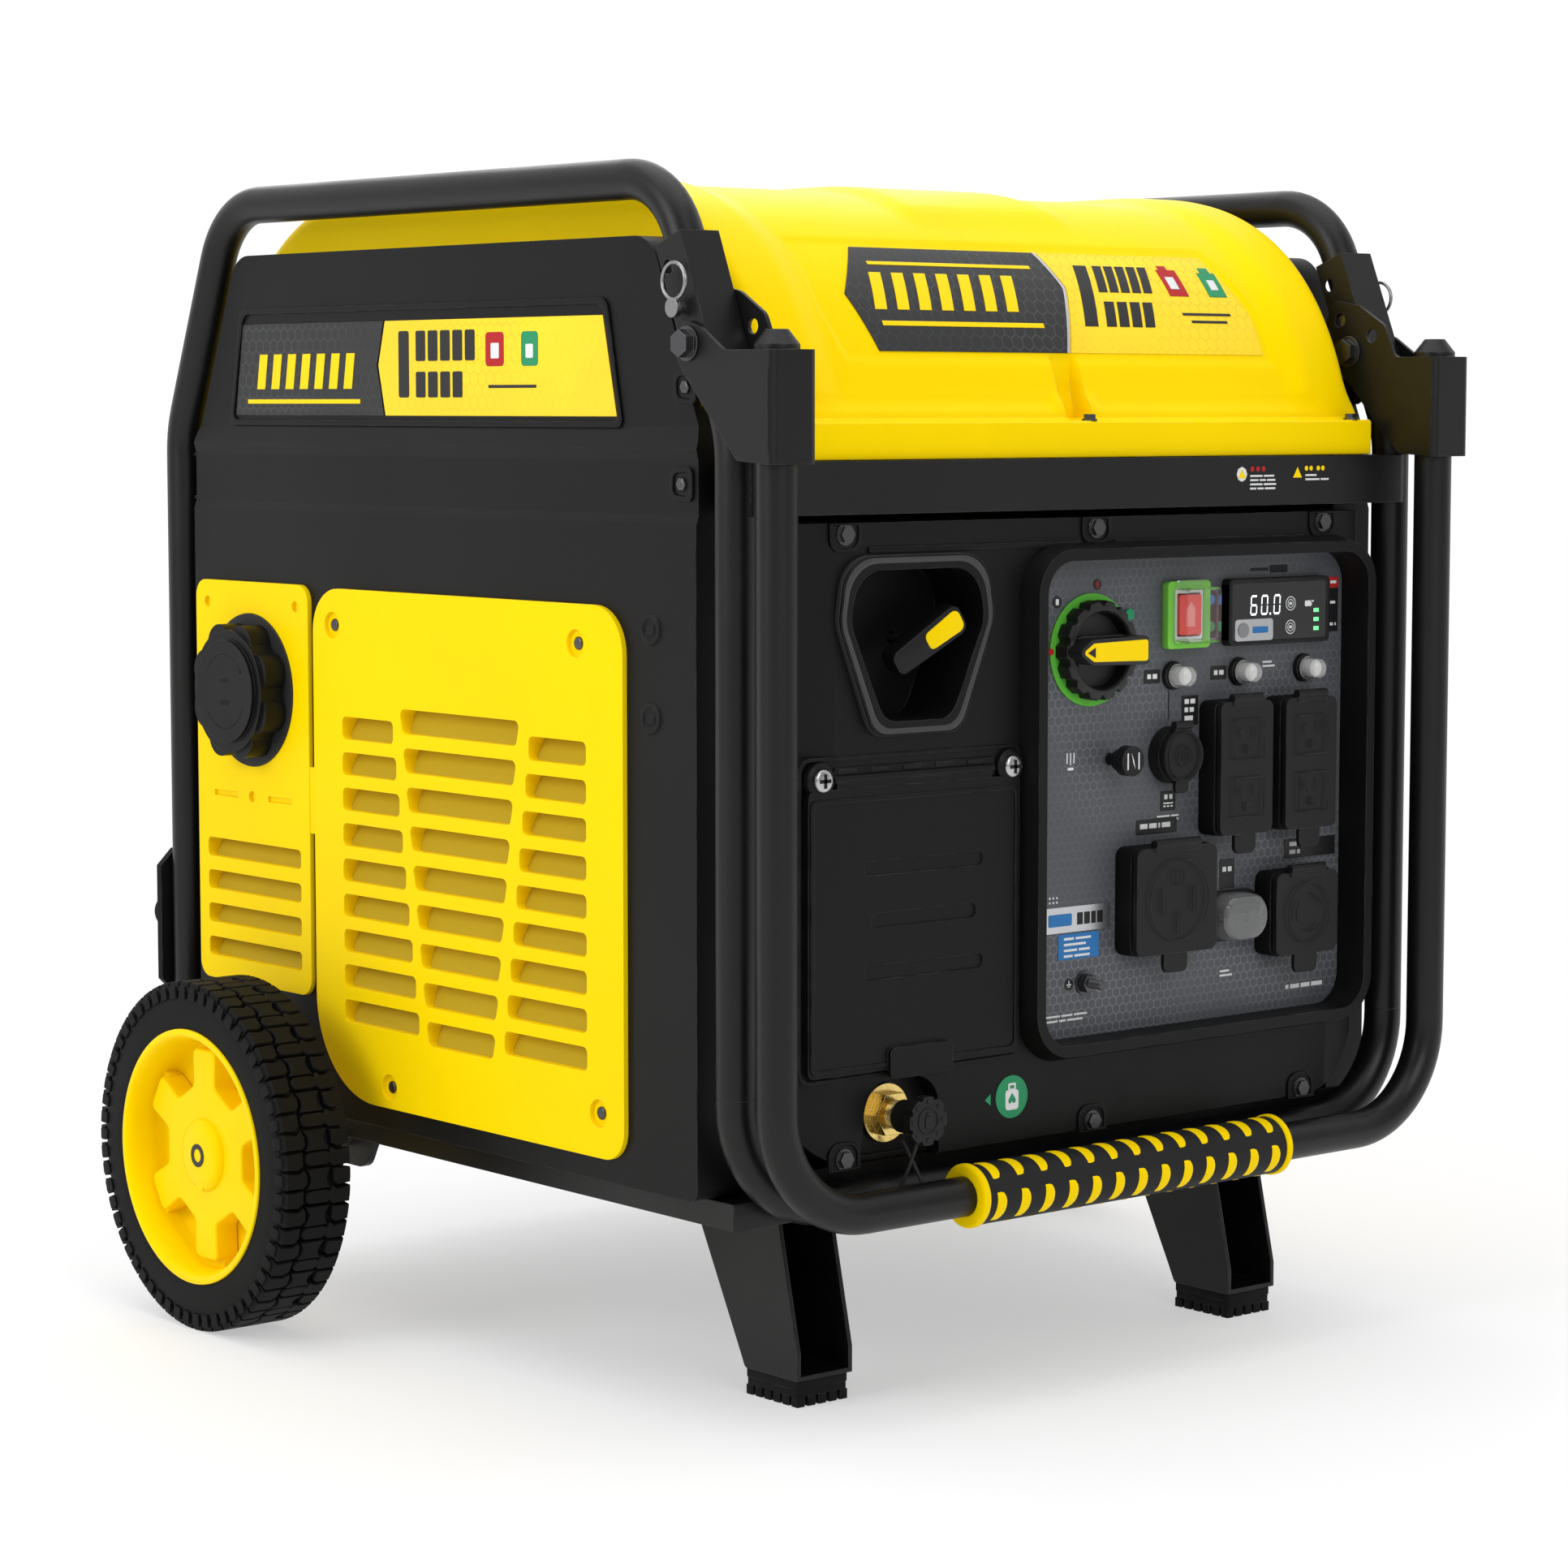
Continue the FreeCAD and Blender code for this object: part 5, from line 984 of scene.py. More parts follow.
def build_grip():
    axis = (grip.cy, grip.cz)
    flange_r = (grip.z1 - grip.z0) / 2
    sleeve_r, window_r = flange_r - 1.3, flange_r - 0.95
    yellow, black = slot_material["panel_yellow"], slot_material["grip_rubber"]
    tube_r = 12.7
    for side, tag in ((-1, "left"), (1, "right")):
        end = grip.x1 * side
        profile = [(end, tube_r), (end, flange_r - 2.0), (end - side * 0.6, flange_r - 0.7),
                   (end - side * 1.6, flange_r),
                   (end - side * 4.4, flange_r), (end - side * 5.4, flange_r - 0.6),
                   (end - side * 5.8, sleeve_r),
                   (end - side * 5.8, tube_r)]
        turned(f"grip_flange_{tag}", profile, axis, "x", yellow, "handle", 56, closed=True)
    inner = grip.x1 - 5.6
    profile = [(-inner, tube_r), (-inner, sleeve_r), (inner, sleeve_r), (inner, tube_r)]
    sleeve = turned("grip_sleeve", profile, axis, "x", black, "handle", 96, closed=True)
    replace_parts(sleeve, "handle_grip")
    bm = bmesh.new()
    pitch = 2 * inner / GRIP_COLUMNS
    rows = 10
    for row in range(GRIP_ROWS):
        middle = radians(20) + 2 * pi * row / GRIP_ROWS
        for column in range(GRIP_COLUMNS):
            left = -inner + pitch * (column + 0.5) - 6.4
            sheet = []
            for k in range(rows + 1):
                share = -1 + 2 * k / rows
                turn = middle + share * radians(37)
                bulge = 12.2 * math.sqrt(max(0.0, 1 - abs(share) ** 2.6))
                line = []
                for m in range(5):
                    x = left + (0.6 + bulge) * m / 4 + 0.8 * abs(share) ** 3
                    edge = 0.0 if 0 < m < 4 and 0 < k < rows else -1.2
                    radius = window_r + edge
                    line.append(bm.verts.new((x, axis[0] + radius * cos(turn), axis[1] + radius * sin(turn))))
                sheet.append(line)
            bridge(bm, sheet, closed=False)
    piece("grip_windows", bm, yellow, "handle", angle=60)


build_grip()


# ---- control panel ------------------------------------------------------------------------
plate = Box("control_plate")
print_y = plate.y0        # face of the printed film; lower values stand out of it


def film(name, outlines, material, proud=0.35, body="machine", face=None, base=0.0):
    """Flat shapes printed or stuck on a face that looks towards -Y."""
    at = print_y if face is None else face
    return plate_piece(name, outlines, "y", at - base, at - base - proud, material, body)


def text_bars(x, z, widths, height=2.2, gap=1.6, row_gap=2.0):
    """Rows of short bars that stand where a legend would be; widths is a list of rows."""
    bars = []
    for row, lengths in enumerate(widths):
        at = x
        low = z - row * (height + row_gap)
        for length in lengths:
            bars.append(rectangle(at, at + length, low - height, low))
            at += length + gap
    return bars


dial = Box("engine_dial")
DIAL_RING_R = 37.0


def build_dial():
    x, z = dial.cx, dial.cz
    bm = bmesh.new()
    ring_prism(bm, circle(x, z, DIAL_RING_R, 64), circle(x, z, 26.0, 64), "y", print_y, print_y - 1.4)
    piece("dial_ring", bm, green_ring, bevel=0.4)
    base_y = print_y - 1.8
    top_y = print_y - 13.0
    black = slot_material["dial_black"]
    bm = bmesh.new()
    outline = []
    notches = 14
    for k in range(notches):
        middle = 2 * pi * k / notches
        for offset, radius in ((-0.155, 31.4), (-0.11, 32.8), (0.11, 32.8), (0.155, 31.4), (0.19, 30.0),
                               (0.255, 30.0)):
            turn = middle + offset
            outline.append(Vector((x + radius * cos(turn), z + radius * sin(turn))))

    def ring_line(shrink):
        return [Vector((x, z)) + (p - Vector((x, z))) * shrink for p in outline]

    def round_line(radius):
        turns = [math.atan2(p.y - z, p.x - x) for p in outline]
        return [Vector((x + radius * cos(t), z + radius * sin(t))) for t in turns]

    levels = [(ring_line(1.0), base_y), (ring_line(1.0), top_y + 2.2), (ring_line(0.975), top_y + 0.8),
              (round_line(28.4), top_y), (round_line(26.4), top_y), (round_line(25.2), top_y + 1.2),
              (round_line(24.0), base_y - 2.0), (round_line(8.0), base_y - 2.0)]
    rings = [[bm.verts.new((p.x, at, p.y)) for p in line] for line, at in levels]
    bridge(bm, rings)
    bm.faces.new(rings[0])
    bm.faces.new(rings[-1])
    knob = piece("dial_knob", bm, black, "engine_dial", angle=35)
    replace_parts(knob, "engine_dial")
    lever = rounded([(x - 34, z, 3), (x - 22, z - 8.5, 8), (x + 30, z - 9.5, 3), (x + 30, z + 9.5, 3),
                     (x - 22, z + 8.5, 8)], 4)
    plate_piece("dial_lever", [lever], "y", base_y - 2.0, dial.y0 + 0.7, black, "engine_dial",
                1.2)
    root = rounded([(x - 24, z - 10, 6), (x + 24, z - 10, 6), (x + 24, z + 10, 6), (x - 24, z + 10, 6)], 4)
    plate_piece("dial_lever_root", [root], "y", base_y - 2.0, top_y + 1.5, black, "engine_dial",
                1.0)
    inlay = rounded([(x - 31, z, 2), (x - 21, z - 6.0, 5), (x + 28, z - 7.0, 2), (x + 28, z + 7.0, 2),
                     (x - 21, z + 6.0, 5)], 4)
    plate_piece("dial_inlay", [inlay], "y", dial.y0 + 1.6, dial.y0 + 0.2, yellow_print, "engine_dial")
    arrow = [Vector((x - 27, z)), Vector((x - 20, z - 3.4)), Vector((x - 20, z + 3.4))]
    plate_piece("dial_arrow", [arrow], "y", dial.y0 + 0.4, dial.y0, black_print, "engine_dial")
    film("dial_mark_off", [circle(x + 6, z + 42.5, 3.6, 24)], black_print)
    film("dial_mark_off_red", [rectangle(x + 5.2, x + 6.8, z + 40.2, z + 44.8)], red_print, 0.5)
    film("dial_mark_fuel", [circle(x - 30, z + 32, 4.0, 24)], black_print)
    film("dial_mark_fuel_pump", [rectangle(x - 31.6, x - 28.8, z + 30, z + 34, 0.4)], white_print, 0.5)
    film("dial_mark_gas", [circle(x + 35, z + 22, 3.8, 24)], green_print, 1.8)
    film("dial_mark_run", [circle(x - 36.5, z, 2.2, 16)], red_print, 1.9)


build_dial()

rocker = Box("rocker_switch")
fittings = Box("panel_fittings")


def build_rocker():
    x, z = rocker.cx, rocker.cz
    frame_y = print_y - 6.0
    bm = bmesh.new()
    ring_prism(bm, rectangle(x - 20, x + 20, z - 22.5, z + 22.5, 3),
               rectangle(x - 13, x + 13, z - 17, z + 17, 2),
               "y", print_y, frame_y)
    bezel = piece("rocker_frame", bm, green_frame, bevel=0.6)
    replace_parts(bezel, "panel_fittings")
    bm = bmesh.new()
    ring_prism(bm, rectangle(x - 13, x + 13, z - 17, z + 17, 2),
               rectangle(x - 10.6, x + 10.6, z - 14.4, z + 14.4, 1),
               "y", print_y, frame_y + 0.6)
    piece("rocker_seat", bm, white_print, bevel=0.3)
    arrow = [Vector((x - 4, z - 8)), Vector((x + 4, z - 8)), Vector((x + 4, z + 4)), Vector((x, z + 9)),
             Vector((x - 4, z + 4))]
    plate_piece("rocker_arrow", [arrow], "y", rocker.y0 + 0.3, rocker.y0 - 0.3,
                plastic("switch_pale", (0.85, 0.30, 0.26), 0.3),
                "rocker_switch")
    tag = rectangle(x + 21.5, x + 31.5, z - 17, z + 17, 1)
    film("rocker_tag", [tag], black_print)
    film("rocker_tag_blue", [circle(x + 26.5, z + 9, 3.4, 20)], blue_print, 0.55)
    film("rocker_tag_green", [circle(x + 26.5, z - 9, 3.4, 20)], green_print, 0.55)


build_rocker()

SEGMENTS = {
    "top": (0.14, 0.86, 0.90, 1.0), "middle": (0.14, 0.86, 0.45, 0.55), "bottom": (0.14, 0.86, 0.0, 0.10),
    "upper_left": (0.0, 0.13, 0.54, 0.92), "upper_right": (0.87, 1.0, 0.54, 0.92),
    "lower_left": (0.0, 0.13, 0.08, 0.46), "lower_right": (0.87, 1.0, 0.08, 0.46),
}
DIGIT_PARTS = {
    "0": ("top", "bottom", "upper_left", "upper_right", "lower_left", "lower_right"),
    "6": ("top", "middle", "bottom", "upper_left", "lower_left", "lower_right"),
}
screen = Box("display_module")


def build_display():
    x0, x1, z0, z1 = screen.x0, screen.x1, screen.z0, screen.z1
    face = screen.y0
    bm = bmesh.new()
    ring_prism(bm, rectangle(x0, x1, z0, z1, 4), rectangle(x0 + 3, x1 - 3, z0 + 3, z1 - 3, 2.5), "y",
               print_y, face - 0.8)
    piece("display_rim", bm, slot_material["control_black"], bevel=0.7)
    film("display_glass", [rectangle(x0 + 3, x1 - 3, z0 + 3, z1 - 3, 2.5)], screen_glass, 0.3, face=face)
    lit = face - 0.3
    digits = []
    width, height = 6.4, 13.6
    low = z1 - 25.0
    for place, character in enumerate("600", 1):
        left = x0 + 10.0 + place * 10.4 + (1.8 if place == 3 else 0.0)
        for part in DIGIT_PARTS[character]:
            a0, a1, b0, b1 = SEGMENTS[part]
            lean = 0.05
            digits.append([Vector((left + a * width + lean * b * height, low + b * height))
                           for a, b in ((a0, b0), (a1, b0), (a1, b1), (a0, b1))])
    digits.append(rectangle(x0 + 39.2, x0 + 40.6, low, low + 1.4))
    film("display_digits", digits, digit_glow, 0.12, face=lit)
    outline_rings = bmesh.new()
    for cx, cz in ((x0 + 60, z1 - 18), (x0 + 60, z0 + 11)):
        ring_prism(outline_rings, circle(cx, cz, 4.9, 28), circle(cx, cz, 4.2, 28), "y", lit, lit - 0.12)
        ring_prism(outline_rings, circle(cx, cz, 3.0, 24), circle(cx, cz, 2.4, 24), "y", lit, lit - 0.12)
    piece("display_rings", outline_rings, white_print)
    oil = [rectangle(x0 + 74, x0 + 81, z1 - 20.5, z1 - 16.5, 1.2),
           rectangle(x0 + 80, x0 + 84, z1 - 17.6, z1 - 16.4)]
    film("display_icons", oil + [rectangle(x0 + 58.6, x0 + 61.4, z1 - 19, z1 - 17),
                                 rectangle(x0 + 58.6, x0 + 61.4, z0 + 10, z0 + 12)],
         white_print, 0.12, face=lit)
    bars = [rectangle(x1 - 15.5, x1 - 10.5, z0 + 8 + 6.2 * k, z0 + 10.6 + 6.2 * k) for k in range(5)]
    film("display_bars_lit", bars[:3], led_glow, 0.12, face=lit)
    film("display_bars_dark", bars[3:], led_dark, 0.12, face=lit)
    button = Box("display_button")
    pill = rectangle(button.x0 - 3.0, button.x1 + 24.0, button.cz - 7.4, button.cz + 7.4, 2.5)
    film("display_pill", [pill], silver_film, 0.15, face=lit)
    film("display_pill_bar", [rectangle(button.x1 + 4, button.x1 + 19, button.cz - 2.2, button.cz + 2.2,
                                        0.8)],
         blue_print, 0.12, face=lit - 0.15)
    tag_end = plate.x1 - 4.0
    film("gauge_tag", [rectangle(x1 + 1.0, tag_end, z0 + 6, z1 - 9)], black_print)
    film("gauge_tag_red", [rectangle(x1 + 1.0, tag_end, z1 - 9, z1 - 1.5)], red_print)
    film("gauge_marks", text_bars(tag_end - 8, z1 - 4, [[6]], 2.0) + text_bars(tag_end - 8, z1 - 18, [[5]],
                                                                               2.0)
         + text_bars(tag_end - 8, z0 + 12, [[3, 1.4]], 2.0), white_print, 0.5)
    film("gauge_title", [rectangle(x0 + 28, x0 + 45, z1 + 4.5, z1 + 6.5),
                         rectangle(x0 + 47, x0 + 64, z1 + 3, z1 + 8, 0.6)],
         slot_material["control_black"])


build_display()

breakers = [Box(f"breaker_button_{number}") for number in (1, 2, 3)]
boots = Box("breaker_boots")
lever = Box("main_breaker_lever")


def build_breakers():
    boot_y = boots.y0 + 2.0
    for number, b in enumerate(breakers, start=1):
        collar = [(print_y, 6.2), (print_y, 9.6), (print_y - 2.0, 9.6), (print_y - 3.4, 9.0),
                  (print_y - 3.4, 8.2),
                  (print_y - 5.0, 8.2), (print_y - 5.0, 6.2)]
        turned(f"breaker_collar_{number}", collar, (b.cx, b.cz), "y", slot_material["control_black"],
               closed=True)
        shell = [(print_y - 3.4, 8.1), (print_y - 5.2, 8.0), (print_y - 5.6, 7.2), (boot_y + 4, 6.9),
                 (boot_y + 1.2, 6.4),
                 (boot_y, 4.6), (boot_y, 0.0)]
        boot = turned(f"breaker_boot_{number}", shell, (b.cx, b.cz), "y", boot_clear,
                      count=32)
        if number == 1:
            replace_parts(boot, "breaker_boots")
    for x, z in ((breakers[0].cx - 19, breakers[0].cz), (breakers[1].cx - 19, breakers[1].cz)):
        film(f"breaker_tag_{int(x)}", [rectangle(x - 7.5, x + 7.5, z - 4.6, z + 4.6, 0.8)], black_print)
        film(f"breaker_tag_bar_{int(x)}", text_bars(x - 4.5, z + 1.6, [[3.4, 4.2]], 3.2), white_print, 0.5)
    x, z = lever.cx, lever.cz
    bm = bmesh.new()
    outer = rectangle(x - 22, x + 22, z - 16, z + 16, 15.5, 10)
    levels = [(1.0, print_y - 6.0), (0.99, boots.y0 + 6.0), (0.96, boots.y0 + 2.0), (0.88, boots.y0 + 0.3),
              (0.80, boots.y0)]
    rings = []
    for shrink, y in levels:
        rings.append([bm.verts.new((x + (p.x - x) * shrink, y, z + (p.y - z) * shrink)) for p in outer])
    bridge(bm, rings)
    bm.faces.new(rings[-1])
    piece("main_breaker_shield", bm, shield_clear)
    plate_piece("main_breaker_base", [rectangle(x - 23, x + 23, z - 17, z + 17, 6)], "y", print_y,
                print_y - 6.0,
                slot_material["control_black"], bevel=0.8)
    film("main_breaker_tag", [rectangle(x - 7, x + 7, z + 18, z + 38, 0.8)], black_print)
    film("main_breaker_tag_bar", text_bars(x - 4.6, z + 33, [[3.6, 3.6]], 3.4), white_print, 0.5)


boot_clear = clear("boot_clear", (0.86, 0.86, 0.86), 0.12, 1.15, 0.75)
shield_clear = clear("shield_clear", (0.80, 0.81, 0.82), 0.03, 1.12, 0.86)
build_breakers()


def build_earth():
    x, z = fittings.x0 + 6.5, fittings.z0 + 6.5
    steel = slot_material["bolt_steel"]
    plate_piece("earth_nut", [circle(x, z, 6.5, 6)], "y", print_y - 1.2, print_y - 6.8, steel,
                bevel=0.5)
    turned("earth_washer", [(print_y, 8.0), (print_y - 1.2, 8.0), (print_y - 1.2, 0.0)], (x, z), "y", steel)
    thread = [(print_y - 6.8, 3.0)]
    for k in range(14):
        at = print_y - 7.0 - 0.8 * k
        thread += [(at, 3.0), (at - 0.4, 2.6)]
    thread.append((print_y - 18.0, 0.0))
    turned("earth_stud", thread, (x, z), "y", steel, count=24)
    film("earth_mark", [circle(x - 14, z, 3.8, 24)], black_print)
    film("earth_mark_bars", [rectangle(x - 14.4, x - 13.6, z, z + 2.6),
                             rectangle(x - 16, x - 12, z - 0.6, z + 0.2),
                             rectangle(x - 15.2, x - 12.8, z - 1.8, z - 1.2)], white_print, 0.5)


build_earth()


def raised_line(bm, outline, face, width=0.9, proud=0.3):
    """Thin raised line along a closed outline on a face that looks towards -Y."""
    centre = sum(outline, Vector((0, 0))) / len(outline)
    inner = []
    for i, p in enumerate(outline):
        along = (outline[(i + 1) % len(outline)] - outline[i - 1]).normalized()
        inward = Vector((-along.y, along.x))
        if inward.dot(centre - p) < 0:
            inward = -inward
        inner.append(p + inward * width)
    ring_prism(bm, outline, inner, "y", face, face - proud)


def build_covers():
    """Embossed outlet marks and shadow gaps on the weather covers."""
    for name in ("left_outlet_cover", "right_outlet_cover"):
        cover = Box(name)
        face, x = cover.y0, cover.cx
        middle = (cover.z0 + 13.0 + cover.z1 - 5.5) / 2
        bm = bmesh.new()
        for z in (middle + 19.5, middle - 19.5):
            raised_line(bm, rectangle(x - 14.5, x + 14.5, z - 13.5, z + 13.5), face)
            prism(bm, rectangle(x - 7.0, x - 6.2, z, z + 8.6), "y", face, face - 0.35)
            prism(bm, rectangle(x - 9.4, x - 7.0, z + 4.2, z + 5.0), "y", face, face - 0.35)
            prism(bm, rectangle(x + 5.8, x + 6.6, z, z + 8.6), "y", face, face - 0.35)
            raised_line(bm, rectangle(x - 2.6, x + 2.6, z - 9.5, z - 4.0, 2.4, 4), face)
        # Embossed marks in the painted shade black.
        piece(f"{name}_marks", bm, painted_shade_black, name)
        gasket = rectangle(cover.x0 - 0.8, cover.x1 + 0.8, middle - 45.4, middle + 45.4, 6)
        plate_piece(f"{name}_gasket", [gasket], "y", print_y - 0.2, outlets_y + 0.9,
                    slot_material["pad_rubber"],
                    bevel=0.8)
    cover = Box("large_outlet_cover")
    face, x, z = cover.y0, cover.cx, (cover.z0 + 13.0 + cover.z1 - 5.5) / 2
    bm = bmesh.new()
    raised_line(bm, circle(x, z, 27.6, 56), face, 0.7)
    for a, b, w, h in ((-14, 0, 3.4, 17), (14, 0, 3.4, 17), (0, -15, 3.4, 15), (0, 15, 8.0, 9.0)):
        raised_line(bm, rectangle(x + a - w / 2, x + a + w / 2, z + b - h / 2, z + b + h / 2), face, 0.6)
    # Embossed marks in the painted shade black.
    piece("large_outlet_cover_marks", bm, painted_shade_black, "large_outlet_cover")
    plate_piece("large_outlet_gasket", [rectangle(x - 38.2, x + 38.2, z - 36.2, z + 36.2, 7)], "y",
                print_y - 0.2,
                outlets_y + 0.9, slot_material["pad_rubber"], bevel=0.8)
    cover = Box("locking_outlet_cover")
    face, x, z = cover.y0, cover.cx, (cover.z0 + 13.0 + cover.z1 - 5.5) / 2
    bm = bmesh.new()
    raised_line(bm, circle(x, z, 21.0, 48), face, 0.7)
    for start in (0.35, 2.45, 4.55):
        arc_out = circle(x, z, 13.4, 10, start, 1.2)
        arc_in = circle(x, z, 12.6, 10, start, 1.2)
        prism(bm, arc_out + list(reversed(arc_in)), "y", face, face - 0.35)
    # Embossed marks in the painted shade black.
    piece("locking_outlet_cover_marks", bm, painted_shade_black, "locking_outlet_cover")
    plate_piece("locking_outlet_gasket", [rectangle(x - 31, x + 31, z - 29, z + 29, 7)], "y", print_y - 0.2,
                outlets_y + 0.9, slot_material["pad_rubber"], bevel=0.8)
    cover = Box("socket_cover")
    face, x = cover.y0, cover.cx
    z = cover.z0 + 25.0
    bm = bmesh.new()
    raised_line(bm, circle(x, z, 16.4, 48), face, 1.2, 0.6)
    raised_line(bm, circle(x, z, 7.2, 32), face, 0.8, 0.4)
    prism(bm, rectangle(x - 3, x - 2.2, z - 3, z + 3), "y", face, face - 0.35)
    prism(bm, rectangle(x + 2.2, x + 3, z - 3, z + 3), "y", face, face - 0.35)
    # Embossed marks in the painted shade black.
    piece("socket_cover_marks", bm, painted_shade_black, "socket_cover")


outlets_y = Box("outlet_bases").y0
build_covers()


def build_choke():
    knob = Box("choke_knob")
    x, z, face = knob.cx, knob.cz, knob.y0
    bars = [rectangle(x - 5.6, x - 4.4, z - 5.5, z + 5.5), rectangle(x + 4.4, x + 5.6, z - 5.5, z + 5.5),
            [Vector((x - 1.6, z + 5.2)), Vector((x - 0.4, z - 0.6)), Vector((x + 1.8, z - 5.2)),
             Vector((x + 0.4, z + 0.6))]]
    plate_piece("choke_mark", bars, "y", face, face - 0.3, white_print, "choke_knob")
    at = x - 36
    film("choke_legend", [rectangle(at - 3.6, at - 2.6, z - 1, z + 6),
                          rectangle(at + 2.6, at + 3.6, z - 1, z + 6),
                          rectangle(at - 0.5, at + 0.5, z - 2, z + 6),
                          rectangle(at - 2.8, at + 2.8, z - 5.4, z - 3.6, 0.8)],
         white_print)


build_choke()


def build_panel_print():
    """Plain tags, bars and colour fields that stand where the panel's legends are."""
    duplex = Box("left_outlet_cover")
    large = Box("large_outlet_cover")
    locking = Box("locking_outlet_cover")
    socket = Box("socket_cover")
    tag_x, tag_z = duplex.x0 - 17.5, duplex.z1 - 1
    film("duplex_tag", [rectangle(tag_x, duplex.x0 - 2, tag_z - 20, tag_z, 0.8)], black_print)
    film("duplex_tag_bars", text_bars(tag_x + 2.6, tag_z - 2.4, [[4, 4.6], [3.4, 4], [8]], 3.2, 1.4, 2.4),
         white_print, 0.5)
    film("large_tag", [rectangle(large.cx - 19, large.cx + 19, large.z1 + 1.5, large.z1 + 11.5, 0.8)],
         black_print)
    film("large_tag_bars", text_bars(large.cx - 15.5, large.z1 + 8.6, [[7, 7, 1.6, 8]], 3.4), white_print,
         0.5)
    film("locking_tag", [rectangle(locking.cx - 2, plate.x1 - 4, locking.z1 + 1.5, locking.z1 + 14.5, 0.8)],
         black_print)
    film("locking_tag_bars", text_bars(locking.cx + 3, locking.z1 + 12.6, [[7, 7, 6], [6, 3]], 3.0, 1.6,
                                       2.4), white_print, 0.5)
    film("socket_tag", [rectangle(socket.cx - 7, socket.cx + 7, socket.z0 - 12.5, socket.z0 + 0.5, 0.8)],
         black_print)
    film("socket_tag_bars", text_bars(socket.cx - 3.6, socket.z0 - 1.6, [[3, 3]], 3.2)
         + [rectangle(socket.cx - 4.5, socket.cx + 4.5, socket.z0 - 8, socket.z0 - 7),
            rectangle(socket.cx - 4.5, socket.cx - 2.3, socket.z0 - 10, socket.z0 - 9),
            rectangle(socket.cx - 1.1, socket.cx + 1.1, socket.z0 - 10, socket.z0 - 9),
            rectangle(socket.cx + 2.3, socket.cx + 4.5, socket.z0 - 10, socket.z0 - 9)], white_print, 0.5)
    film("socket_notes", text_bars(socket.cx - 10, socket.z0 - 15.5, [[12, 7], [9, 10]], 1.2, 1.2, 1.2),
         white_print, 0.2)
    link = socket.cx
    film("socket_link", [rectangle(link - 0.5, link + 0.5, socket.z1, breakers[0].z0 - 5)], black_print, 0.25)
    left = plate.x0 + 21.0
    film("guard_label", [rectangle(left, left + 60, plate.z0 + 70, plate.z0 + 87, 2)], silver_film, 0.4)
    film("guard_label_block", [rectangle(left + 4, left + 25, plate.z0 + 74.5, plate.z0 + 82.5, 1)],
         blue_print, 0.6)
    film("guard_label_bars", text_bars(left + 30, plate.z0 + 82.5, [[5, 5, 4, 5]], 8.0, 1.4), black_print,
         0.6)
    film("guard_note", [rectangle(left + 13, left + 50, plate.z0 + 52, plate.z0 + 69, 1)], blue_print, 0.35)
    film("guard_note_bars", text_bars(left + 18, plate.z0 + 66.5, [[9, 14], [20], [12, 10], [8, 14]], 1.6,
                                      1.6, 2.2), white_print, 0.5)
    film("guard_dots", [circle(left + 2 + 3.2 * k, plate.z0 + 90.5 + 3.0 * row, 0.8,
                               10) for row in range(2) for k in range(4)],
         white_print, 0.3)
    foot = plate.z0 + 10
    film("plate_notes", text_bars(plate.x0 + 22, foot + 6, [[14, 10, 12], [12, 6, 14]], 1.4, 1.4, 1.8)
         + text_bars(plate.x1 - 52, foot + 6, [[3, 9, 9, 11]], 3.0, 1.6)
         + text_bars(breakers[1].cx + 24, breakers[1].cz + 6, [[9], [12]], 1.4, 1.2, 1.4)
         + text_bars(locking.x0 - 34, plate.z0 + 32, [[9], [12]], 1.4, 1.2, 1.6), white_print, 0.2)


build_panel_print()


# ---- front fascia ---------------------------------------------------------------------------
recoil = Box("recoil_bezel")
pull = Box("recoil_grip")


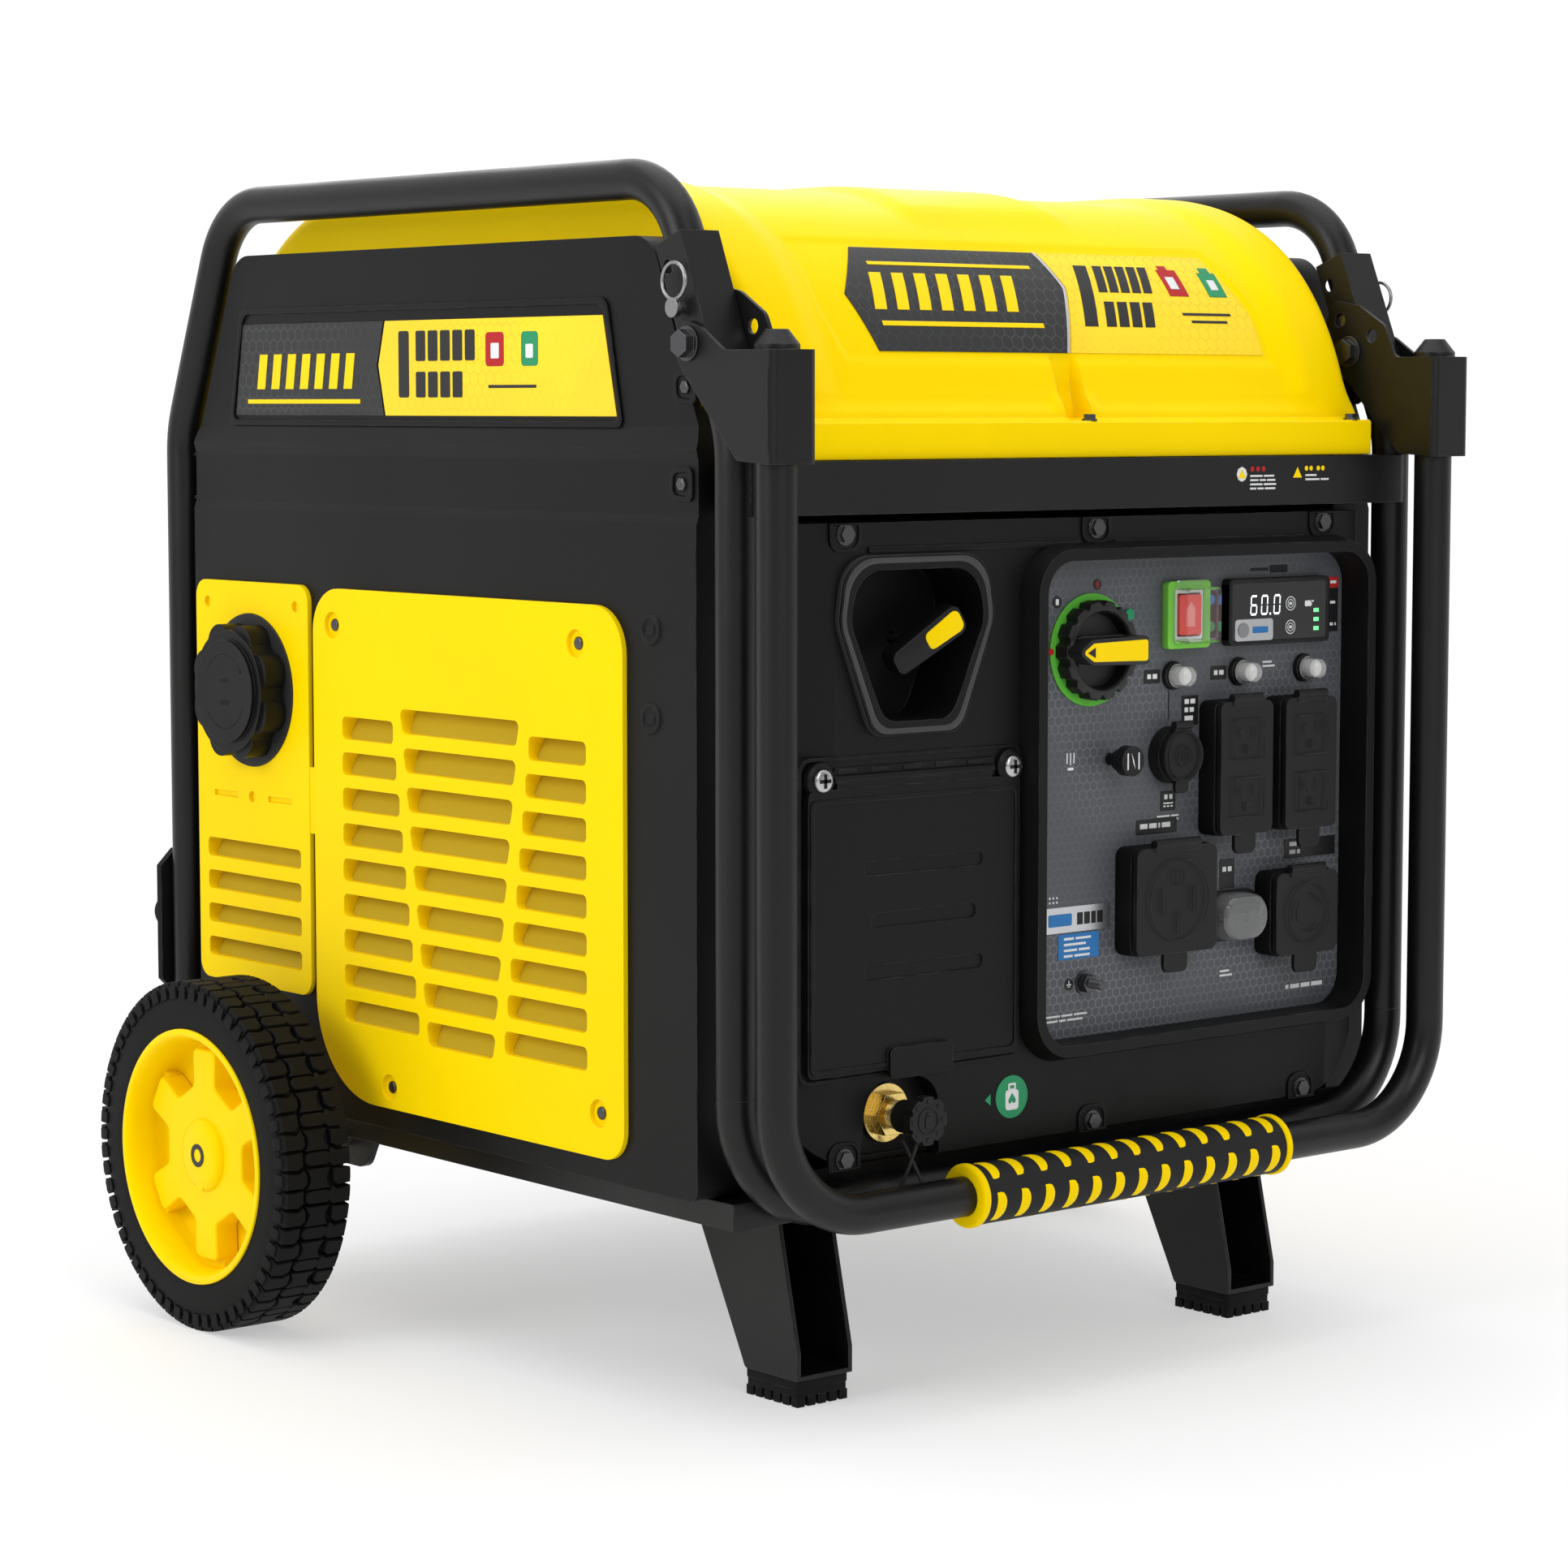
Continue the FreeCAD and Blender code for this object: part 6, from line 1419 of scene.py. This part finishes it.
def build_recoil():
    tilt = radians(33)
    along = Vector((cos(tilt), -0.16, sin(tilt))).normalized()
    middle = Vector((pull.cx, pull.y0 + 11.0, pull.cz))
    up = Vector((-sin(tilt), 0, cos(tilt)))
    out = up.cross(along).normalized()
    if out.y > 0:
        out = -out

    def bar(name, half_long, half_wide, half_thick, offset, material, bevel, shift=0.0):
        bm = bmesh.new()
        corners = rounded([(-half_long, -half_wide * 0.78, half_wide * 0.5),
                           (half_long, -half_wide, half_wide * 0.6),
                           (half_long, half_wide, half_wide * 0.6),
                           (-half_long, half_wide * 0.78, half_wide * 0.5)], 4)
        rings = []
        for depth in (-half_thick, half_thick):
            centre = middle + out * (offset + depth) + along * shift
            rings.append([bm.verts.new(centre + along * p.x + up * p.y) for p in corners])
        bridge(bm, rings)
        bm.faces.new(rings[0])
        bm.faces.new(rings[1])
        return piece(name, bm, material, "recoil_grip", bevel)

    body = bar("recoil_handle", 29.0, 10.6, 7.6, 0.0, slot_material["control_black"], 2.2)
    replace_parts(body, "recoil_grip")
    inlay = bar("recoil_handle_inlay", 14.5, 7.6, 0.6, 7.5, yellow_print, 0.4, 12.2)
    bm = bmesh.new()
    start, end = middle.y + 4, pull.y1
    turns = int((end - start) / 9)
    strands = 3
    for strand in range(strands):
        points = []
        for k in range(turns * 6 + 1):
            turn = 2 * pi * k / 6 + 2 * pi * strand / strands
            points.append((pull.cx + 1.35 * cos(turn), start + (end - start) * k / (turns * 6),
                           pull.cz + 1.35 * sin(turn)))
        tube(bm, points, 1.5, 7)
    piece("recoil_rope", bm, slot_material["tether_plastic"], "recoil_grip", angle=60)
    x = recoil.cx

    def mouth(grow):
        top, low = recoil.z1 + grow, recoil.z0 - grow
        wide, narrow = 65.0 + grow, 37.0 + grow
        return rounded([(x - narrow, low, 16), (x + narrow, low, 16), (x + wide, recoil.z1 - 41.5, 26),
                        (x + wide - 6, top, 24), (x - wide + 6, top, 24), (x - wide, recoil.z1 - 41.5, 26)],
                        8)

    bm = bmesh.new()
    levels = [(mouth(0.4), fascia_y - 0.2), (mouth(0.2), recoil.y0 + 1.6), (mouth(-1.6), recoil.y0 - 0.2),
              (mouth(-4.6), recoil.y0 - 0.2), (mouth(-6.6), recoil.y0 + 1.6), (mouth(-7.8), recoil.y0 + 14.0)]
    rings = [[bm.verts.new((p.x, y, p.y)) for p in line] for line, y in levels]
    bridge(bm, rings)
    piece("recoil_lip", bm, lip_grey, angle=40)
    cross_head("recoil_screw", x - 44, recoil.z1 - 22, recoil.y1 - 3.2, -1, "y", 4.4, zinc)


fascia = Box("front_fascia")
fascia_y = fascia.y0
build_recoil()

door = Box("service_door")


def build_door():
    black = slot_material["panel_black"]
    hinge_z = door.z1 - 2.4
    for number, x in enumerate((door.x0 + 11.3, door.x1 - 6.6), start=1):
        cross_head(f"door_screw_{number}", x, hinge_z, fascia_y - 4.6, -1, "y", 7.2, zinc)
        turned(f"door_screw_seat_{number}", [(fascia_y, 11.5), (fascia_y - 3.2, 11.0),
                                             (fascia_y - 4.6, 9.0), (fascia_y - 4.6, 0.0)],
               (x, hinge_z), "y", black)
    bar_x0, bar_x1 = door.x0 + 23.5, door.x1 - 19.0
    plate_piece("door_hinge_cover", [rectangle(bar_x0, bar_x1, hinge_z - 5.4, hinge_z + 7.0, 2)], "y",
                fascia_y, fascia_y - 1.4,
                black, bevel=0.6)
    knuckles = 5
    pitch = (bar_x1 - bar_x0) / knuckles
    shapes = [rectangle(bar_x0 + pitch * k + 3, bar_x0 + pitch * (k + 1) - 9, hinge_z + 3.0, hinge_z + 6.0,
                        1) for k in range(knuckles)]
    # Dark slot plates: painted shade of the hinge slots.
    plate_piece("door_hinge_slots", shapes, "y", fascia_y - 1.4, fascia_y - 1.8, painted_shade_black)
    bm = bmesh.new()
    outer = rectangle(door.x0 - 5.0, door.x1 + 5.0, door.z0 + 2.0, hinge_z + 14.0, 9)
    inner = rectangle(door.x0 - 2.6, door.x1 + 2.6, door.z0 + 4.4, hinge_z + 11.6, 7)
    ring_prism(bm, outer, inner, "y", fascia_y, fascia_y - 1.2)
    piece("door_surround", bm, black, bevel=0.5)
    bm = bmesh.new()
    face = door.y0 + 3.0
    ring_prism(bm, rectangle(door.x0 + 1.5, door.x1 - 1.5, door.z0 + 8.0, hinge_z - 12.0, 5),
               rectangle(door.x0 + 4.5, door.x1 - 4.5, door.z0 + 11.0, hinge_z - 15.0, 4), "y", face,
               face - 0.9)
    piece("door_rim", bm, black, "service_door", bevel=0.4)


build_door()


bar_face = Box("frame_cross_members").y0


def build_fascia():
    black = slot_material["panel_black"]
    for number, (x, z) in enumerate(((-215, 555), (0, 555), (215, 555), (-215, 166), (0, 166), (200, 166)),
                                    start=1):
        sign = -1 if z > 300 else 1
        arch = rounded([(x - 13, z - sign * 7, 0), (x - 13, z + sign * 11, 9), (x + 13, z + sign * 11, 9),
                        (x + 13, z - sign * 7, 0)]) \
            if sign > 0 else rounded([(x - 13, z - 11, 9), (x + 13, z - 11, 9), (x + 13, z + 7, 0),
                                      (x - 13, z + 7, 0)])
        bm = bmesh.new()
        centre = Vector((x, z))
        inner = [centre + (p - centre) * 0.80 for p in arch]
        ring_prism(bm, arch, inner, "y", fascia_y + 0.4, fascia_y - 1.5)
        piece(f"bolt_notch_{number}", bm, black, bevel=0.5)
        # Dark floor of the bolt notch: painted shade of the well.
        plate_piece(f"bolt_well_{number}", [inner], "y", fascia_y + 0.4, fascia_y - 0.2, painted_shade_black)
    panel_edge = [rectangle(-196, -14, 543, 547, 1.5), rectangle(16, 196, 543, 547, 1.5)]
    plate_piece("fascia_top_rib", panel_edge, "y", fascia_y, fascia_y - 1.6, black,
                bevel=0.7)
    inlet = Box("lpg_inlet")
    gx, gz = inlet.cx + 97, inlet.cz + 1
    film("gas_mark", [circle(gx, gz, 14.0, 48)], green_print, 0.5, face=fascia_y)
    film("gas_mark_bottle", [rectangle(gx - 5.8, gx + 5.8, gz - 8.6, gz + 4.6, 2.4),
                             rectangle(gx - 3.4, gx + 3.4, gz + 4.6, gz + 9.0, 1)],
         white_print, 0.3, face=fascia_y, base=0.5)
    film("gas_mark_neck", [rectangle(gx - 1.9, gx + 1.9, gz + 5.4, gz + 7.6, 0.5)], green_print, 0.1,
         face=fascia_y, base=0.8)
    flame = rounded([(gx, gz + 2.6, 0), (gx - 3.4, gz - 2.0, 1.2), (gx - 2.2, gz - 5.2, 1), (gx, gz - 2.8, 0),
                     (gx + 2.2, gz - 5.2, 1), (gx + 3.4, gz - 2.0, 1.2)], 3)
    film("gas_mark_flame", [flame], green_print, 0.1, face=fascia_y, base=0.8)
    film("gas_arrow", [[Vector((gx - 23.5, gz)), Vector((gx - 18.5, gz - 3.8)),
                        Vector((gx - 18.5, gz + 3.8))]], green_print, 0.4,
         face=fascia_y)
    x, z = 132.0, 588.0
    film("bar_mark_gear", [circle(x, z, 5.0, 8)], white_print, 0.2, face=bar_face)
    film("bar_mark_warning", [[Vector((x, z + 3.4)), Vector((x - 3.6, z - 2.6)), Vector((x + 3.6, z - 2.6))],
                              [Vector((x + 54, z + 4.4)), Vector((x + 49.6, z - 2.8)),
                               Vector((x + 58.4, z - 2.8))]],
         yellow_print, 0.15, face=bar_face, base=0.2)
    film("bar_dots_red", [circle(x + 10 + 5.4 * k, z + 3.4, 1.8, 14) for k in range(3)], red_print, 0.2,
         face=bar_face)
    film("bar_dots_yellow", [circle(x + 63 + 4.6 * k + (2.5 if k > 1 else 0), z + 3.4, 1.7,
                                    14) for k in range(4)], yellow_print, 0.2,
         face=bar_face)
    film("bar_bars", text_bars(x + 8, z - 0.6, [[12, 10], [8, 6, 8], [12, 12], [6, 6, 10]], 1.3, 1.2, 1.5)
         + text_bars(x + 62, z - 0.6, [[11], [14, 8]], 1.3, 1.2, 1.5), white_print, 0.2, face=bar_face)


build_fascia()


def build_inlet():
    inlet, cap = Box("lpg_inlet"), Box("lpg_cap")
    x, z = inlet.cx, inlet.cz
    brass = slot_material["brass"]
    thread = []
    for k in range(9):
        at = inlet.y0 + 13.0 + 1.2 * k
        thread += [(at, 8.0), (at + 0.6, 9.2)]
    thread.append((inlet.y0 + 24.0, 8.0))
    turned("inlet_thread", thread, (x, z), "y", brass, count=32)
    face = cap.y0
    bm = bmesh.new()
    raised_line(bm, circle(x, z, 8.6, 32), face, 1.0, 0.5)
    for k in range(8):
        turn = 2 * pi * k / 8
        a, b = x + 12.2 * cos(turn), z + 12.2 * sin(turn)
        prism(bm, circle(a, b, 1.5, 10), "y", face, face - 0.4)
    prism(bm, rectangle(x - 2.6, x + 2.6, z - 4.6, z + 3.0, 1.4), "y", face, face - 0.5)
    prism(bm, rectangle(x - 1.4, x + 1.4, z + 3.6, z + 5.2), "y", face, face - 0.5)
    piece("lpg_cap_marks", bm, slot_material["control_black"], "lpg_cap")


build_inlet()

TETHER_MM = 2.4


def build_tether():
    """Cap's tether, through the same points as its solid."""
    shift = -0.34225
    x, z = -0.1692, 0.1888
    points = [
        (x + 0.004, 0.031, z - 0.017), (x + 0.009, 0.026, 0.158), (x + 0.013, 0.0194, 0.141),
        (x + 0.011, 0.0194, 0.126), (x - 0.009, 0.0194, 0.126), (x - 0.011, 0.0194, 0.141),
        (x - 0.005, 0.014, 0.158), (x, 0.011, z - 0.012),
    ]
    curve = bpy.data.curves.new("tether", "CURVE")
    curve.dimensions = "3D"
    spline = curve.splines.new("NURBS")
    spline.points.add(len(points) - 1)
    for target, (px, py, pz) in zip(spline.points, points):
        target.co = (px, py + shift, pz, 1.0)
    spline.order_u = 3
    spline.use_endpoint_u = True
    spline.resolution_u = 10
    curve.bevel_depth = TETHER_MM * MM / 2
    curve.bevel_resolution = 4
    curve.use_fill_caps = True
    obj = bpy.data.objects.new("tether", curve)
    obj.data.materials.append(slot_material["tether_plastic"])
    bpy.context.scene.collection.objects.link(obj)
    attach(obj, "machine")
    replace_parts(obj, "lpg_tether")


build_tether()


# ---- room, light and camera --------------------------------------------------------------------
CAMERA_TURN = -39.94      # degrees round +Z from looking along +Y
VIEW = (-sin(radians(CAMERA_TURN)), cos(radians(CAMERA_TURN)), 0.0)
RIGHT = (cos(radians(CAMERA_TURN)), sin(radians(CAMERA_TURN)), 0.0)


def build_room():
    """Pale floor that glows: painted light that lifts its shadows and runs it into a white background behind
    the object, with painted shade that dims it to its right.
    """
    floor = bpy.data.meshes.new("floor")
    half = 14.0
    floor.from_pydata([(-half, -half, 0), (half, -half, 0), (half, half, 0), (-half, half, 0)], [],
                      [(0, 1, 2, 3)])
    obj = bpy.data.objects.new("floor", floor)
    bpy.context.scene.collection.objects.link(obj)
    pale = Finish("pale_floor")
    behind = pale.band(pale.vector("DOT_PRODUCT", pale.place, VIEW), -0.4, 1.9)
    beside = pale.band(pale.vector("DOT_PRODUCT", pale.place, RIGHT), 1.3, 3.6)
    near = pale.band(pale.vector("DOT_PRODUCT", pale.place, VIEW), 2.6, 0.6)
    # Painted shade: less glow to the right of the object, near the camera.
    painted_dimming = pale.math("SUBTRACT", 1.0, pale.math("MULTIPLY", pale.math("MULTIPLY", beside, near), 0.85))
    # Painted light: the floor glows, most of all behind the object.
    painted_glow = pale.math("MULTIPLY", pale.math("MULTIPLY_ADD", behind, 0.56, 0.44), painted_dimming)
    grain = pale.band(pale.noise(1.5, 3), 0.3, 0.7, 0.86, 0.88)
    pale.feed(pale.shader.inputs["Base Color"], pale.math("MULTIPLY", pale.math("SUBTRACT", 1.0, painted_glow),
                                                          grain))
    pale.feed(pale.shader.inputs["Emission Strength"], painted_glow)
    pale.set(Roughness=0.9, Specular_IOR_Level=0.0, Emission_Color=(1, 1, 1, 1))
    floor.materials.append(pale.material)


CAMERA_AT = Vector((-1.828616, -2.181553, 0.6344285))
CAMERA_DIP = 5.399
SENSOR = 36.0
LENS = 92.2


def build_light():
    world = bpy.data.worlds.new("studio")
    world.use_nodes = True
    tree = world.node_tree
    background = tree.nodes["Background"]
    coords = tree.nodes.new("ShaderNodeTexCoord")
    dot = tree.nodes.new("ShaderNodeVectorMath")
    dot.operation = "DOT_PRODUCT"
    dot.inputs[1].default_value = (VIEW[0], VIEW[1], 0.25)
    ramp = tree.nodes.new("ShaderNodeMapRange")
    ramp.interpolation_type = "SMOOTHSTEP"
    ramp.inputs["From Min"].default_value = -0.5
    ramp.inputs["From Max"].default_value = 0.75
    ramp.inputs["To Min"].default_value = 0.35
    ramp.inputs["To Max"].default_value = 1.04
    tree.links.new(coords.outputs["Generated"], dot.inputs[0])
    tree.links.new(dot.outputs["Value"], ramp.inputs["Value"])
    tree.links.new(ramp.outputs["Result"], background.inputs["Strength"])
    background.inputs["Color"].default_value = (1, 1, 1, 1)
    bpy.context.scene.world = world
    lights = (
        ("top_softbox", (-0.3, -0.2, 3.2), (0, 0, 0.4), 3.2, 46.0),
        ("left_softbox", (-3.4, 0.2, 1.9), (-0.2, 0.1, 0.4), 1.9, 52.0),
        ("front_softbox", (-0.9, -3.8, 2.3), (0.1, -0.2, 0.4), 2.0, 46.0),
        ("rear_softbox", (1.8, 3.0, 2.6), (0, 0, 0.4), 2.6, 30.0),
    )
    for name, place, aim, size, power in lights:
        lamp = bpy.data.lights.new(name, "AREA")
        lamp.shape = "SQUARE"
        lamp.size = size
        lamp.energy = power
        obj = bpy.data.objects.new(name, lamp)
        bpy.context.scene.collection.objects.link(obj)
        obj.location = place
        obj.rotation_euler = (Vector(aim) - Vector(place)).to_track_quat("-Z", "Y").to_euler()


def build_camera():
    camera = bpy.data.cameras.new("camera")
    camera.sensor_width = SENSOR
    camera.lens = LENS
    obj = bpy.data.objects.new("camera", camera)
    bpy.context.scene.collection.objects.link(obj)
    obj.location = CAMERA_AT
    obj.rotation_euler = (radians(90 - CAMERA_DIP), 0.0, radians(CAMERA_TURN))
    bpy.context.scene.camera = obj


build_room()
build_light()
build_camera()
bpy.context.scene.view_settings.view_transform = "Standard"
